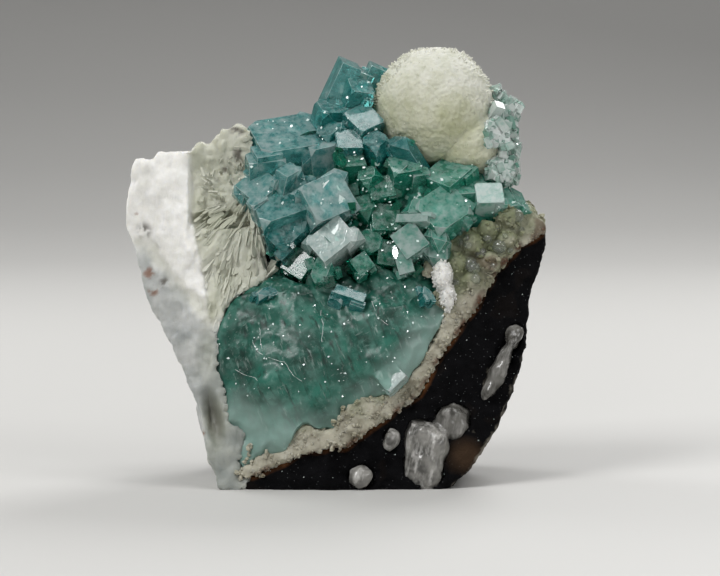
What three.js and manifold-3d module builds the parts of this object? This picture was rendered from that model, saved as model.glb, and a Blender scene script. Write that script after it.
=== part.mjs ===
// Green apophyllite with stilbite on basalt: a hand-sized mineral specimen that stands on a flat sawn foot.
// Millimetres, +Z up, +X to the right of the show side and -Y towards the viewer.
// The origin is the middle of the bounding box, on the surface that the specimen stands on.
import * as THREE from "three";
import { ConvexGeometry } from "three/addons/geometries/ConvexGeometry.js";
import { ImprovedNoise } from "three/addons/math/ImprovedNoise.js";
import { mergeVertices } from "three/addons/utils/BufferGeometryUtils.js";
import Module from "manifold-3d";

const wasm = await Module();
wasm.setup();

// Driving dimensions
const GAP = 0.3; // air left where two minerals meet
const FRONT_AT_FOOT = -24; // the show side at the foot, in Y
const FRONT_LEAN = 0.2; // how far the show side falls back for each millimetre of height
const FRONT_CURVE = 0.0035; // how the show side curves back to its two edges
const WALL_FACE = 8; // the flat face of the basalt that the minerals grew on, in Y
const WALL_TOP = 72.5;
const BACK_AT_FOOT = 31;
const BACK_LEAN = -0.14;
const BACK_CURVE = -0.005;
const BALL_RADIUS = 13.5;
const BALL_CENTRE = [22.2, 3, 84.3];
// Apophyllite's pyramid face, measured from the basal face
const PYRAMID_ANGLE = THREE.MathUtils.degToRad(60.5);
const ROOT_LENGTH = 4; // a crystal's length in half widths, where nothing else is said
const DEEP = 40; // farther from the middle than any surface, in Y

const COLOURS = {
  basalt: 0x14151a,
  lining: 0xcfc8b4,
  stilbite: 0xf1eee4,
  ball: 0xe6e4cd,
  apophyllite: 0x3f9a86,
  paleApophyllite: 0x8cc3b4,
  chalcedony: 0xb9b6b0,
};

const noise = new ImprovedNoise();

// Layered noise from about -1 to 1: size is the width of the largest lumps in millimetres.
function roughness(p, size, seed, layers = 3) {
  let sum = 0;
  for (let i = 0; i < layers; i++) {
    const k = 2 ** i / size;
    sum += noise.noise(p.x * k + seed, p.y * k - seed, p.z * k + 2 * seed) / 2 ** i;
  }
  return sum;
}

function positionsOnly(geometry) {
  const bare = geometry.clone();
  for (const name of Object.keys(bare.attributes)) {
    if (name !== "position") bare.deleteAttribute(name);
  }
  return mergeVertices(bare, 1e-3);
}

function solidOf(geometry) {
  const merged = positionsOnly(geometry);
  return new wasm.Manifold(
    new wasm.Mesh({
      numProp: 3,
      vertProperties: new Float32Array(merged.attributes.position.array),
      triVerts: new Uint32Array(merged.index.array),
    }),
  );
}

function geometryOf(solid) {
  const { numProp, vertProperties, triVerts } = solid.getMesh();
  const points = new Float32Array((vertProperties.length / numProp) * 3);
  for (let i = 0; i < points.length / 3; i++) {
    points.set(vertProperties.subarray(i * numProp, i * numProp + 3), i * 3);
  }
  const geometry = new THREE.BufferGeometry();
  geometry.setAttribute("position", new THREE.BufferAttribute(points, 3));
  geometry.setIndex(new THREE.BufferAttribute(new Uint32Array(triVerts), 1));
  return geometry;
}

function joined(solids) {
  return solids.reduce((all, one) => all.add(one));
}

// The largest body of a solid, so that a crumb left by a cut goes with it.
function largest(solid) {
  return solid.decompose().sort((a, b) => b.volume() - a.volume())[0];
}

const frontOf = (x, z) => FRONT_AT_FOOT + FRONT_LEAN * z + FRONT_CURVE * x * x;
const backOf = (x, z) => BACK_AT_FOOT + BACK_LEAN * z + BACK_CURVE * x * x;

// An outline with each of its sides moved outward by this much.
function widened(outline, amount) {
  const points = outline.map(([x, z]) => new THREE.Vector2(x, z));
  const turn = Math.sign(THREE.ShapeUtils.area(points));
  return points.map((point, i) => {
    const along = point.clone().sub(points.at(i - 1)).normalize();
    const onward = points[(i + 1) % points.length].clone().sub(point).normalize();
    const out = new THREE.Vector2(along.y + onward.y, -along.x - onward.x).multiplyScalar(turn).normalize();
    const lean = Math.max(0.5, turn * (out.x * along.y - out.y * along.x));
    return point.clone().addScaledVector(out, amount / lean);
  });
}

// A slab of stone with this outline on the show side, between a front surface and a back surface.
// Its sides have the full outline at the depth waist and close in from there,
// by the shares taper behind and in front.
function slab({ outline, front, back, waist, taper, middle, cell, rough, lump, seed, grow = 0 }) {
  const around = widened(outline, grow);
  const span = new THREE.Box2().setFromPoints(around).expandByScalar(0.6 * cell);
  const [wide, tall] = span.getSize(new THREE.Vector2()).toArray();
  const block = new THREE.BoxGeometry(wide, 1, tall, Math.ceil(wide / cell), 1, Math.ceil(tall / cell));
  block.translate((span.min.x + span.max.x) / 2, 0, (span.min.y + span.max.y) / 2);
  const faces = block.attributes.position;
  const spot = new THREE.Vector3();
  for (let i = 0; i < faces.count; i++) {
    const isFront = faces.getY(i) < 0;
    spot.set(faces.getX(i), 0, faces.getZ(i));
    const x = spot.x + 0.35 * cell * roughness(spot, cell, seed + 40, 1);
    const z = spot.z + 0.35 * cell * roughness(spot, cell, seed + 80, 1);
    const y = isFront ? front(x, z) - grow - rough * roughness(spot, lump, seed) : back(x, z) + grow;
    faces.setXYZ(i, x, y, z);
  }
  const face = new THREE.Shape(around);
  const prism = new THREE.ExtrudeGeometry(face, { depth: 2, steps: 2, bevelEnabled: false });
  prism.rotateX(Math.PI / 2);
  const sides = prism.attributes.position;
  for (let i = 0; i < sides.count; i++) {
    const ring = Math.round(-sides.getY(i));
    const scale = 1 - [taper[0], 0, taper[1]][ring];
    const [x, z] = [sides.getX(i), sides.getZ(i)];
    const level = z < 1 ? z : middle[1] + (z - middle[1]) * scale;
    sides.setXYZ(i, middle[0] + (x - middle[0]) * scale, [DEEP, waist, -DEEP][ring], level);
  }
  return solidOf(block).intersect(solidOf(prism));
}

// A rounded lump: an ellipsoid that flat breaks cut,
// each given by its outward direction and distance from the centre.
// tilt leans it over to the right, in degrees.
function lump({
  centre, radii, breaks = [], tilt = 0,
  detail = 4, rough = 0.4, size = 8, seed = 0, grow = 0,
}) {
  const ball = positionsOnly(new THREE.IcosahedronGeometry(1, detail));
  const { position } = ball.attributes;
  const direction = new THREE.Vector3();
  const planes = breaks.map(([x, y, z, distance]) => {
    const out = new THREE.Vector3(x, y, z).normalize();
    return { out, distance };
  });
  for (let i = 0; i < position.count; i++) {
    direction.fromBufferAttribute(position, i).normalize();
    let reach = 1 / Math.hypot(direction.x / radii[0], direction.y / radii[1], direction.z / radii[2]);
    for (const { out, distance } of planes) {
      const facing = out.dot(direction);
      if (facing > 0.01) reach = Math.min(reach, distance / facing);
    }
    reach += rough * roughness(direction.clone().multiplyScalar(reach), size, seed) + grow;
    position.setXYZ(i, ...direction.multiplyScalar(reach).toArray());
  }
  ball.rotateY(THREE.MathUtils.degToRad(tilt));
  ball.translate(...centre);
  return solidOf(ball);
}

// The convex solid inside a set of planes, each [outward direction, distance],
// as the hull of the corners that lie inside all.
function insideOf(planes) {
  const corners = [];
  for (let i = 0; i < planes.length; i++) {
    for (let j = i + 1; j < planes.length; j++) {
      for (let k = j + 1; k < planes.length; k++) {
        const [a, b, c] = [planes[i], planes[j], planes[k]];
        const bc = new THREE.Vector3().crossVectors(b[0], c[0]);
        const volume = a[0].dot(bc);
        if (Math.abs(volume) < 1e-6) continue;
        const corner = bc.multiplyScalar(a[1]);
        corner.addScaledVector(new THREE.Vector3().crossVectors(c[0], a[0]), b[1]);
        corner.addScaledVector(new THREE.Vector3().crossVectors(a[0], b[0]), c[1]).divideScalar(volume);
        const inside = planes.every(([out, distance]) => out.dot(corner) < distance + 1e-4);
        if (inside && !corners.some((other) => other.distanceTo(corner) < 1e-2)) corners.push(corner);
      }
    }
  }
  return new ConvexGeometry(corners);
}

// An apophyllite crystal: a square prism with a flat basal end,
// whose corners are cut by four steep pyramid faces.
// tip is the middle of the basal end, and along is the way it points.
// point goes from 0, no pyramid faces, to 1, a sharp end.
function crystal({ tip, along, half, length, point = 0, turn = 0, grow = 0 }) {
  const [a, b] = Array.isArray(half) ? half : [half, half];
  const reach = length ?? ROOT_LENGTH * Math.max(a, b);
  const apex = (1 - point) * ((a + b) / Math.SQRT2) * Math.tan(PYRAMID_ANGLE);
  const planes = [
    [new THREE.Vector3(0, 0, 1), grow],
    [new THREE.Vector3(0, 0, -1), reach + grow],
  ];
  for (const side of [-1, 1]) {
    planes.push([new THREE.Vector3(side, 0, 0), a + grow]);
    planes.push([new THREE.Vector3(0, side, 0), b + grow]);
    for (const other of point > 0 ? [-1, 1] : []) {
      const flat = new THREE.Vector3(side * b, other * a, 0).normalize();
      flat.multiplyScalar(Math.sin(PYRAMID_ANGLE));
      planes.push([flat.setZ(Math.cos(PYRAMID_ANGLE)), Math.cos(PYRAMID_ANGLE) * apex + grow]);
    }
  }
  const made = insideOf(planes);
  made.rotateZ(THREE.MathUtils.degToRad(turn));
  const pointing = new THREE.Vector3(...along).normalize();
  made.applyQuaternion(new THREE.Quaternion().setFromUnitVectors(new THREE.Vector3(0, 0, 1), pointing));
  made.translate(...tip);
  return solidOf(made);
}

// Outlines on the show side, [x, z] in millimetres above the foot
const STILBITE_OUTLINE = [
  [-20.5, 0], [-26, 0.5], [-28.5, 4.5], [-30, 11], [-31, 17.5], [-33.5, 24], [-36, 29.5], [-40, 37],
  [-42.5, 42], [-44, 48.5], [-46, 53.5], [-48, 59], [-47.5, 65.5], [-47, 70], [-45.5, 73.5], [-41.5, 73],
  [-40.5, 75], [-35.5, 75], [-33, 75], [-31, 77], [-28.5, 77], [-25.5, 80], [-22, 82], [-16.5, 78.5],
  [-16.5, 64], [-16.5, 51.5], [-15, 41.5], [-16.5, 28.5], [-16.5, 15], [-16.5, 3.5],
];
const BASALT_BAND_OUTLINE = [
  [-21.5, 0], [-20, 5], [-8, 11], [2, 13], [10, 19], [17, 26], [26, 40], [34, 50], [43, 58.5],
  [47.5, 57.5], [47.5, 54.5], [45, 45.5], [43.5, 41],
  [42.5, 31], [41.5, 26.5], [39, 19], [36.5, 13.5], [33.5, 8.5], [30.5, 4], [28, 1.5], [25.5, 0],
];
const BASALT_WALL_OUTLINE = [
  [-24, 0], [-30, 14], [-36, 32], [-41, 50], [-40, 64], [-28, 70],
  [24, 69], [38, 64], [47, 56], [44.5, 42], [41, 25], [35, 11], [27, 0],
];
const LINING_OUTLINE = [
  [-22.5, 2], [-20, 9], [-10, 19], [4, 22], [14, 29], [19, 38], [19, 47], [23, 55], [31, 61], [38, 63.5],
  [43.5, 62.5], [47.5, 57],
  [45, 55.5], [41.5, 53.5], [36, 48], [32, 41], [28.5, 36.5], [23.5, 30], [21, 25.5], [18.5, 21],
  [12, 16.5], [7.5, 13.5], [2, 9.5], [-3, 9], [-8, 8], [-12, 6], [-19, 3],
];
const LOWER_OUTLINE = [
  [-17.5, 45.5], [-13.5, 47.5], [-8, 49], [-3, 50.5], [3, 50.5], [9, 49], [15, 50.5], [21, 49],
  [25, 44], [25.5, 40.5], [24, 36.5], [20, 29], [16.5, 24], [13.5, 21], [9.5, 20], [6.5, 19.5], [3.5, 15.5],
  [0, 12.5], [-4, 12.5], [-7, 14.5], [-10, 11.5], [-12, 8], [-16.5, 5], [-21, 3], [-23, 5.5],
  [-25, 16], [-27.5, 20], [-30, 23.5], [-31, 29], [-27.5, 32.5], [-26, 37.5], [-24.5, 41],
];

// A box larger than the whole specimen, with its middle here, to cut with.
const CUT_SIZE = 300;
function cutter(x, y, z) {
  const box = new THREE.BoxGeometry(CUT_SIZE, CUT_SIZE, CUT_SIZE);
  box.translate(x, y, z);
  return solidOf(box);
}
const underFoot = cutter(0, 0, -CUT_SIZE / 2);
const before = (y) => cutter(0, y - CUT_SIZE / 2, 0);

// Each solid below can be grown, so that what lies against it can be cut back with a gap.
const stilbiteBall = (grow) =>
  joined([
    lump({
      centre: BALL_CENTRE, radii: [BALL_RADIUS, BALL_RADIUS, BALL_RADIUS],
      detail: 4, rough: 0.6, size: 7, seed: 3, grow,
    }),
    lump({ centre: [30.3, 1, 76.6], radii: [9, 9, 8.5], detail: 2, rough: 0.5, size: 6, seed: 9, grow }),
  ]);

const SPRAY_LUMP = { detail: 1, rough: 0.3, size: 3 };
const stilbiteSpray = (grow) =>
  joined([
    lump({ ...SPRAY_LUMP, centre: [23.8, -14.8, 47.5], radii: [2, 2.4, 3.8], seed: 2, grow }),
    lump({ ...SPRAY_LUMP, centre: [25, -14.6, 42.6], radii: [1.5, 2.3, 3.8], seed: 5, grow }),
  ]);

// The tall crystals behind and left of the ball. They all lean to the right by about the same angle.
const TOP_LEAN = [0.42, -0.12, 0.9];
const TOP_CRYSTALS = [
  { tip: [3.2, 2, 94.5], along: TOP_LEAN, half: [2.4, 3.2], length: 22, turn: 12, point: 0.05 },
  { tip: [5.9, 3.5, 92.8], along: TOP_LEAN, half: [2.2, 2.8], length: 22, turn: 25, point: 0.12 },
  { tip: [10, 5.5, 93.4], along: TOP_LEAN, half: [2.5, 2.6], length: 24, turn: 8, point: 0.05 },
  { tip: [12.4, 7, 92.9], along: [0.3, 0, 0.95], half: 1.8, length: 20, turn: 40 },
  { tip: [5.7, -2, 89.6], along: [0.35, -0.5, 0.8], half: [2.9, 2.5], length: 16, turn: 20, point: 0.15 },
  { tip: [-0.7, -3, 85.1], along: [0.22, -0.45, 0.87], half: [3.4, 2.8], length: 18, turn: 24, point: 0.2 },
  { tip: [6.3, -5, 82.6], along: [0.15, -0.66, 0.74], half: 3.5, length: 16, turn: 42, point: 0.1 },
  { tip: [-2, -6, 80.2], along: [-0.3, -0.62, 0.74], half: 2.5, length: 12, turn: 35, point: 0.3 },
  { tip: [2.9, -8.5, 77.9], along: [0.12, -0.66, 0.74], half: 2.9, length: 14, turn: 10 },
  { tip: [8.6, -9, 77.9], along: [-0.15, -0.6, 0.8], half: 2.6, length: 14, turn: 44, point: 0.3 },
  { tip: [12.7, -8.5, 77.5], along: [-0.5, -0.35, 0.8], half: [1.7, 3.7], length: 18, turn: 62, point: 0.6 },
];

// The two blocky crystals at the upper left, with smaller ones grown beside them.
const LEFT_CRYSTALS = [
  { tip: [-10.9, -4, 79.1], along: [0.03, -0.5, 0.86], half: [8, 6.6], length: 26, turn: 19, point: 0.16 },
  { tip: [-1.6, -17.5, 65.5], along: [0.3, -0.86, 0.42], half: [5.4, 4.7], length: 22, turn: 40, point: 0.12 },
  { tip: [-12.4, -15, 65.3], along: [-0.14, -0.74, 0.66], half: [6.4, 5.8], length: 22, turn: 14, point: 0.18 },
  { tip: [-17.6, -12, 67.8], along: [-0.3, -0.66, 0.68], half: [3.7, 4.4], length: 16, turn: 30 },
  { tip: [-11.5, -17, 58.4], along: [-0.1, -0.93, 0.34], half: [4.4, 3.6], length: 18, turn: 40, point: 0.35 },
  { tip: [-10.6, -15, 71.4], along: [0.2, -0.5, 0.84], half: [2.6, 1.7], length: 10, turn: 55 },
];

// The deep green jumble in the middle. The first has the bright pearly end.
const MIDDLE_CRYSTALS = [
  { tip: [-1.1, -19.5, 56.2], along: [-0.02, -0.94, 0.34], half: [4.7, 3.4], length: 16, turn: 35, point: 0.08 },
  { tip: [3.6, -9.5, 73.7], along: [0.1, -0.6, 0.78], half: 2.8, turn: 15 },
  { tip: [6.8, -11.5, 70.4], along: [-0.3, -0.6, 0.72], half: 2.3, turn: 38, point: 0.4 },
  { tip: [10.2, -11.5, 67.3], along: [0.2, -0.74, 0.62], half: 2.8, turn: 24 },
  { tip: [6.3, -13, 63.8], along: [-0.14, -0.7, 0.7], half: 2.6, turn: 50, point: 0.4 },
  { tip: [11.3, -13.5, 60.6], along: [0.22, -0.84, 0.5], half: 3.3, turn: 12, point: 0.1 },
  { tip: [7.5, -15.5, 55.4], along: [0.05, -0.9, 0.42], half: 2.8, turn: 33, point: 0.35 },
  { tip: [12.2, -15, 52.6], along: [0.3, -0.9, 0.3], half: 2.9, turn: 8 },
  { tip: [5.9, -18.5, 50.6], along: [0.1, -0.93, 0.34], half: 2.1, turn: 40 },
  { tip: [-3.2, -18.5, 49.7], along: [-0.1, -0.93, 0.3], half: 2.5, turn: 20, point: 0.5 },
  { tip: [-8.6, -15.5, 50.4], along: [-0.25, -0.9, 0.35], half: 3, turn: 45 },
];

// The paler crystals under the ball and down to the right.
const RIGHT_CRYSTALS = [
  { tip: [15.4, -9.5, 72.5], along: [0.06, -0.62, 0.78], half: [3.5, 3], turn: 20, point: 0.15 },
  { tip: [24.9, -8.5, 70.4], along: [-0.1, -0.55, 0.83], half: 4.1, turn: 50 },
  { tip: [24.2, -14.5, 63], along: [0.08, -0.8, 0.6], half: [5.2, 4.7], turn: 42, point: 0.2 },
  { tip: [29.9, -7.5, 68.1], along: [0.2, -0.56, 0.8], half: 3.9, turn: 24 },
  { tip: [34.6, -10, 65.8], along: [0.12, -0.76, 0.64], half: [3.2, 2.8], turn: 10, point: 0.1 },
  { tip: [37.8, -7.5, 64.4], along: [0.3, -0.7, 0.65], half: 2.6, length: 12, turn: 35 },
  { tip: [41.4, -4, 64.3], along: [0.62, -0.3, 0.73], half: [2, 3.2], length: 12, turn: 25 },
  { tip: [17, -15.5, 60.6], along: [-0.5, -0.74, 0.46], half: [1, 4.2], length: 12, turn: 60, point: 0.5 },
  { tip: [16.5, -16.4, 55.7], along: [-0.16, -0.93, 0.34], half: [3.1, 3.4], turn: 28 },
  { tip: [15.2, -17, 50.9], along: [-0.08, -0.96, 0.25], half: [1.8, 2.8], length: 12, turn: 12 },
  { tip: [22.9, -15, 53.5], along: [0.2, -0.93, 0.3], half: [2.8, 3.2], turn: 50, point: 0.5 },
];

// The thin pale plates on the right flank of the ball.
const CREST_CRYSTALS = [
  { tip: [36.7, 1.5, 85.7], along: [0.3, -0.2, 0.93], half: 2.4, length: 12, turn: 20 },
  { tip: [41.6, 1, 82.3], along: [0.84, -0.1, -0.5], half: [0.9, 2.6], length: 14, turn: 70, point: 0.9 },
  { tip: [39.4, -1, 81.3], along: [0.84, -0.5, 0.2], half: [3, 3.6], length: 12, turn: 30, point: 0.2 },
  { tip: [40.7, -0.5, 75.2], along: [0.9, -0.4, 0.16], half: [2.8, 3.2], length: 12, turn: 20, point: 0.15 },
  { tip: [40.5, -1.5, 70], along: [0.86, -0.45, -0.1], half: 3, length: 12, turn: 40, point: 0.3 },
  { tip: [36.9, -6.5, 78.9], along: [0.45, -0.88, 0.12], half: 2.8, length: 12, turn: 25 },
  { tip: [37.8, -6, 71.3], along: [0.4, -0.86, 0.25], half: 2.9, length: 12, turn: 15, point: 0.3 },
];

// The crystals grow from rounded roots, which also join them to each other.
const UPPER_ROOTS = [
  { centre: [3.5, 2, 75], radii: [8, 7, 10], detail: 1, rough: 0.5, seed: 11 },
  { centre: [-10.5, -2, 62], radii: [10, 8, 13], detail: 1, rough: 0.5, seed: 12 },
  { centre: [3, -2, 60], radii: [16, 9, 15], detail: 1, rough: 0.8, seed: 13 },
  { centre: [25, -2, 62], radii: [16, 9, 11], detail: 1, rough: 0.8, seed: 14 },
];
const CREST_ROOT = { centre: [35.8, 0.5, 75.5], radii: [5.6, 6.5, 10.5], detail: 1, rough: 0.5, seed: 15 };

const UPPER_CRYSTALS = [...TOP_CRYSTALS, ...LEFT_CRYSTALS, ...MIDDLE_CRYSTALS, ...RIGHT_CRYSTALS];
const upperCrystals = (grow) =>
  joined([
    ...UPPER_ROOTS.map((root) => lump({ ...root, grow })),
    ...UPPER_CRYSTALS.map((one) => crystal({ ...one, grow })),
  ]);
const crestCrystals = (grow) =>
  joined([lump({ ...CREST_ROOT, grow }), ...CREST_CRYSTALS.map((one) => crystal({ ...one, grow }))]);

// The massive apophyllite at the bottom: one slab with two low domes,
// and a small crystal seated at its lower right.
const DOMES = [
  { at: [-10, 29], wide: [17, 24], high: 7 },
  { at: [12, 35], wide: [14, 16], high: 6.5 },
];
const lowerFront = (x, z) => {
  const rises = DOMES.map(({ at, wide, high }) => {
    const across = (x - at[0]) / wide[0];
    const upward = (z - at[1]) / wide[1];
    return high * (1 - across ** 2 - upward ** 2);
  });
  return frontOf(x, z) + 1 - Math.max(0, ...rises);
};
const lowerMass = (grow) => {
  const mass = slab({
    outline: LOWER_OUTLINE, front: lowerFront, back: () => 6,
    waist: -12, taper: [0, 0.12], middle: [-3, 26], cell: 6.5, rough: 1.6, lump: 7, seed: 4, grow,
  });
  const seat = {
    tip: [12.2, -22.6, 25.4], along: [0.02, -0.97, 0.22],
    half: [2.7, 2.4], turn: 38, length: 9, point: 0.1,
  };
  return joined([mass, crystal({ ...seat, grow })]);
};

// The pale crust between the rock and the crystals,
// with rounded beads on its wide upper end: [x, z, radius].
const LINING_PROUD = 0.8; // how far the crust stands out from the rock
const LINING_THICK = 15;
const BEADS = [
  [27, 50, 2.3], [30.6, 46.4, 2], [30.6, 54.4, 2.2], [34.4, 50, 2.4],
  [34.2, 57.4, 2], [38.4, 54.6, 2.1], [38.6, 60.2, 2.2],
];
const liningCrust = (grow) => {
  const band = slab({
    outline: LINING_OUTLINE,
    front: (x, z) => frontOf(x, z) - LINING_PROUD,
    back: (x, z) => FRONT_AT_FOOT + FRONT_LEAN * z + LINING_THICK,
    waist: -10, taper: [0, 0.04], middle: [20, 30], cell: 8, rough: 1, lump: 5, seed: 6, grow,
  });
  const beads = BEADS.map(([x, z, radius], i) =>
    lump({
      centre: [x, frontOf(x, z) - LINING_PROUD, z], radii: [radius, radius, radius],
      detail: 1, rough: 0.2, size: 3, seed: i, grow,
    }),
  );
  return joined([band, ...beads]);
};

// The stilbite stands proud along an upright ridge and falls back on its right to the crystals.
const RIDGE_AT = -36;
const stilbiteMass = (grow) =>
  slab({
    outline: STILBITE_OUTLINE,
    front: (x, z) => frontOf(x, z) + 1.5 - 4 * Math.exp(-(((x - RIDGE_AT - 0.12 * (60 - z)) / 7) ** 2)),
    back: () => 12,
    waist: -8, taper: [0.2, 0.22], middle: [-28, 32], cell: 6.5, rough: 1.4, lump: 7, seed: 7, grow,
  });

// Chalcedony that fills gas bubbles and cracks in the basalt, seen on the show side.
const NODULES = {
  chalcedony_large: [
    {
      centre: [19.8, -17, 7], radii: [7, 6.5, 10], detail: 2, rough: 0.5, size: 5, seed: 31,
      breaks: [[-1, -0.2, 0.1, 5], [1, -0.2, -0.1, 5.2], [-0.2, -1, 0.1, 5.4], [0.2, -0.3, 1, 8]],
    },
    { centre: [26, -15.4, 14.6], radii: [4.4, 5, 4.6], detail: 1, rough: 0.6, size: 4, seed: 35 },
  ],
  chalcedony_vein: [
    { centre: [36.6, -13.2, 26], radii: [1.6, 4, 10], tilt: 27, detail: 2, rough: 0.7, size: 4, seed: 32 },
    { centre: [40, -11, 33], radii: [1.8, 3.4, 3], tilt: 10, detail: 1, rough: 0.4, size: 4, seed: 36 },
  ],
  chalcedony_small: [
    { centre: [5.6, -22.6, 2.9], radii: [2.7, 2.8, 2.5], detail: 1, rough: 0.4, size: 3, seed: 33 },
  ],
  chalcedony_drop: [
    { centre: [12.3, -21, 11], radii: [1.6, 2.4, 2.6], detail: 1, rough: 0.3, size: 3, seed: 34 },
  ],
};
const nodule = (parts) => (grow) => joined(parts.map((one) => lump({ ...one, grow })));

// The rock: the band that shows at the lower right,
// and the wall behind everything with its flat face and rounded back.
const basaltBody = () => {
  const band = slab({
    outline: BASALT_BAND_OUTLINE, front: frontOf, back: () => 14,
    waist: -12, taper: [0, 0.06], middle: [4, 30], cell: 8, rough: 1, lump: 7, seed: 8,
  });
  const wall = slab({
    outline: BASALT_WALL_OUTLINE, front: () => WALL_FACE - 6, back: backOf,
    waist: 4, taper: [0.22, 0], middle: [2, 26], cell: 12, rough: 0, lump: 13, seed: 10,
  });
  return { band, wall: wall.subtract(before(WALL_FACE)).subtract(underFoot) };
};

// Pieces in the order in which they were left whole: each is cut back from all before it.
const PIECES = [
  ["stilbite_ball", "ball", stilbiteBall],
  ["stilbite_spray", "stilbite", stilbiteSpray],
  ["apophyllite_crystals", "apophyllite", upperCrystals],
  ["apophyllite_lower", "apophyllite", lowerMass],
  ["apophyllite_crest", "paleApophyllite", crestCrystals],
  ["zeolite_lining", "lining", liningCrust],
  ["stilbite_mass", "stilbite", stilbiteMass],
  ...Object.entries(NODULES).map(([name, parts]) => [name, "chalcedony", nodule(parts)]),
  ["basalt_matrix", "basalt", basaltBody],
];

// What grew against the basalt wall ends flat on it, up to the wall's top.
const wallSpace = cutter(0, WALL_FACE - GAP + CUT_SIZE / 2, WALL_TOP - CUT_SIZE / 2);

const group = new THREE.Group();
let taken = underFoot;
for (const [name, colour, shape] of PIECES) {
  const whole = shape(0);
  const solid =
    name === "basalt_matrix"
      ? largest(whole.band.subtract(taken).add(whole.wall))
      : largest(whole.subtract(taken).subtract(wallSpace));
  if (name !== "basalt_matrix") taken = taken.add(shape(GAP));
  const material = new THREE.MeshStandardMaterial({ color: COLOURS[colour], roughness: 0.6, metalness: 0 });
  const mesh = new THREE.Mesh(geometryOf(solid), material);
  mesh.name = name;
  group.add(mesh);
}

// The middle of the bounding box goes over the origin.
const bounds = new THREE.Box3().setFromObject(group);
const centre = bounds.getCenter(new THREE.Vector3());
group.position.set(-centre.x, -centre.y, 0);

export default group;
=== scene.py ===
# %% [markdown]
# # Green apophyllite with stilbite on basalt
# This lesson dresses the solids of a hand-sized mineral specimen. A real one grew in a gas bubble
# of a lava flow: first the dark rock, then a pale crust on it, then white stilbite, green
# apophyllite, and last a ball of stilbite. The solids give every piece its place and size. Each one
# is remade here with the surface that the mineral has.

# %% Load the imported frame
import math

import bpy
import numpy as np
from mathutils import Matrix, Vector, noise


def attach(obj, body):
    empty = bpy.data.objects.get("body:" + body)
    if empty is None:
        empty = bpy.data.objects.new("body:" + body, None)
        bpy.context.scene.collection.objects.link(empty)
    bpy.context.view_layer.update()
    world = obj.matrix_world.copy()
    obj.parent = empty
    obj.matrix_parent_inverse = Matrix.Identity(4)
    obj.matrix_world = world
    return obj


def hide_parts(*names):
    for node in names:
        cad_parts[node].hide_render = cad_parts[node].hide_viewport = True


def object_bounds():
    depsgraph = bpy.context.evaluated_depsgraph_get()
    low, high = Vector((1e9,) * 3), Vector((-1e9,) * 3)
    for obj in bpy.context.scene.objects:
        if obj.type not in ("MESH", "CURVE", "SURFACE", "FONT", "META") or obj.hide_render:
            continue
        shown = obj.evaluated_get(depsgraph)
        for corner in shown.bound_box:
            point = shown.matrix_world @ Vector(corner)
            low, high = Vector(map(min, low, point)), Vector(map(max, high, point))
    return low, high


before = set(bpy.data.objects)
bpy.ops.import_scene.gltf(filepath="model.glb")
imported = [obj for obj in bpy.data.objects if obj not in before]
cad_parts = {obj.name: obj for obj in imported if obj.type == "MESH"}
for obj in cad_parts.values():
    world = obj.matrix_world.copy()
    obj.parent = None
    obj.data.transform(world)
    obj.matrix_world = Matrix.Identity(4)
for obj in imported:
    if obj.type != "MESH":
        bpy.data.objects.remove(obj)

cad_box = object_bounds()
print("solids:", sorted(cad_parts))

# %% [markdown]
# ## Millimetres
# A specimen is measured in millimetres and Blender works in metres. The tables below keep the
# numbers that the solids were made with. Their origin is a little in front of the frame's, so one
# helper moves and scales each place.

# %% Places in millimetres
MM = 0.001
ORIGIN = Vector((0.05, -2.75, 0))


def at(x, y, z):
    """A place given in the solids' own millimetres."""
    return (Vector((x, y, z)) + ORIGIN) * MM


def own(place):
    """The solids' own millimetres of a place in the frame."""
    return place / MM - ORIGIN


print("foot centre:", tuple(at(0, 0, 0)))

# %% [markdown]
# ## Working by hand, in code
# Operators act on all that is selected, so each step first picks its piece alone. A copied solid is
# loose triangles, so its corners are merged before anything else. A voxel remesh then gives it an
# even skin that can take relief.

# %% Picking, copying and applying
def pick(*pieces):
    """Selects these objects alone. The last one becomes the active one."""
    bpy.ops.object.select_all(action="DESELECT")
    for piece in pieces:
        piece.select_set(True)
    bpy.context.view_layer.objects.active = pieces[-1]


def apply_all(piece):
    pick(piece)
    for name in [modifier.name for modifier in piece.modifiers]:
        bpy.ops.object.modifier_apply(modifier=name)


def settle(piece):
    """Puts an object's place, turn and size into its mesh."""
    pick(piece)
    bpy.ops.object.transform_apply(location=True, rotation=True, scale=True)


def copy_of(node, name):
    """A merged copy of a solid, ready to be worked on."""
    piece = bpy.data.objects.new(name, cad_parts[node].data.copy())
    bpy.context.scene.collection.objects.link(piece)
    piece.data.materials.clear()
    pick(piece)
    bpy.ops.object.mode_set(mode="EDIT")
    bpy.ops.mesh.select_all(action="SELECT")
    bpy.ops.mesh.remove_doubles(threshold=0.01 * MM)
    bpy.ops.object.mode_set(mode="OBJECT")
    return piece


def skin(piece, voxel, smooth=0):
    """Gives a piece an even skin of squares this wide, in millimetres, and evens it out."""
    remesh = piece.modifiers.new("skin", "REMESH")
    remesh.mode = "VOXEL"
    remesh.voxel_size = voxel * MM
    if smooth:
        soften = piece.modifiers.new("soften", "SMOOTH")
        soften.iterations = smooth
        soften.factor = 0.5
    apply_all(piece)
    print(piece.name, "skin:", len(piece.data.polygons), "faces")


# %% [markdown]
# ## Relief
# A mineral's relief is a height above its plain form. Blender's noise functions give heights at
# every size, from broken lumps to grain, and one helper pushes each point of a skin along its
# normal by such a height. The foot was sawn flat, so points near the foot stay on it, and no point
# leaves the box of the solids.

# %% Pushing a skin by a height
FOOT_BAND = 0.3


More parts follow.
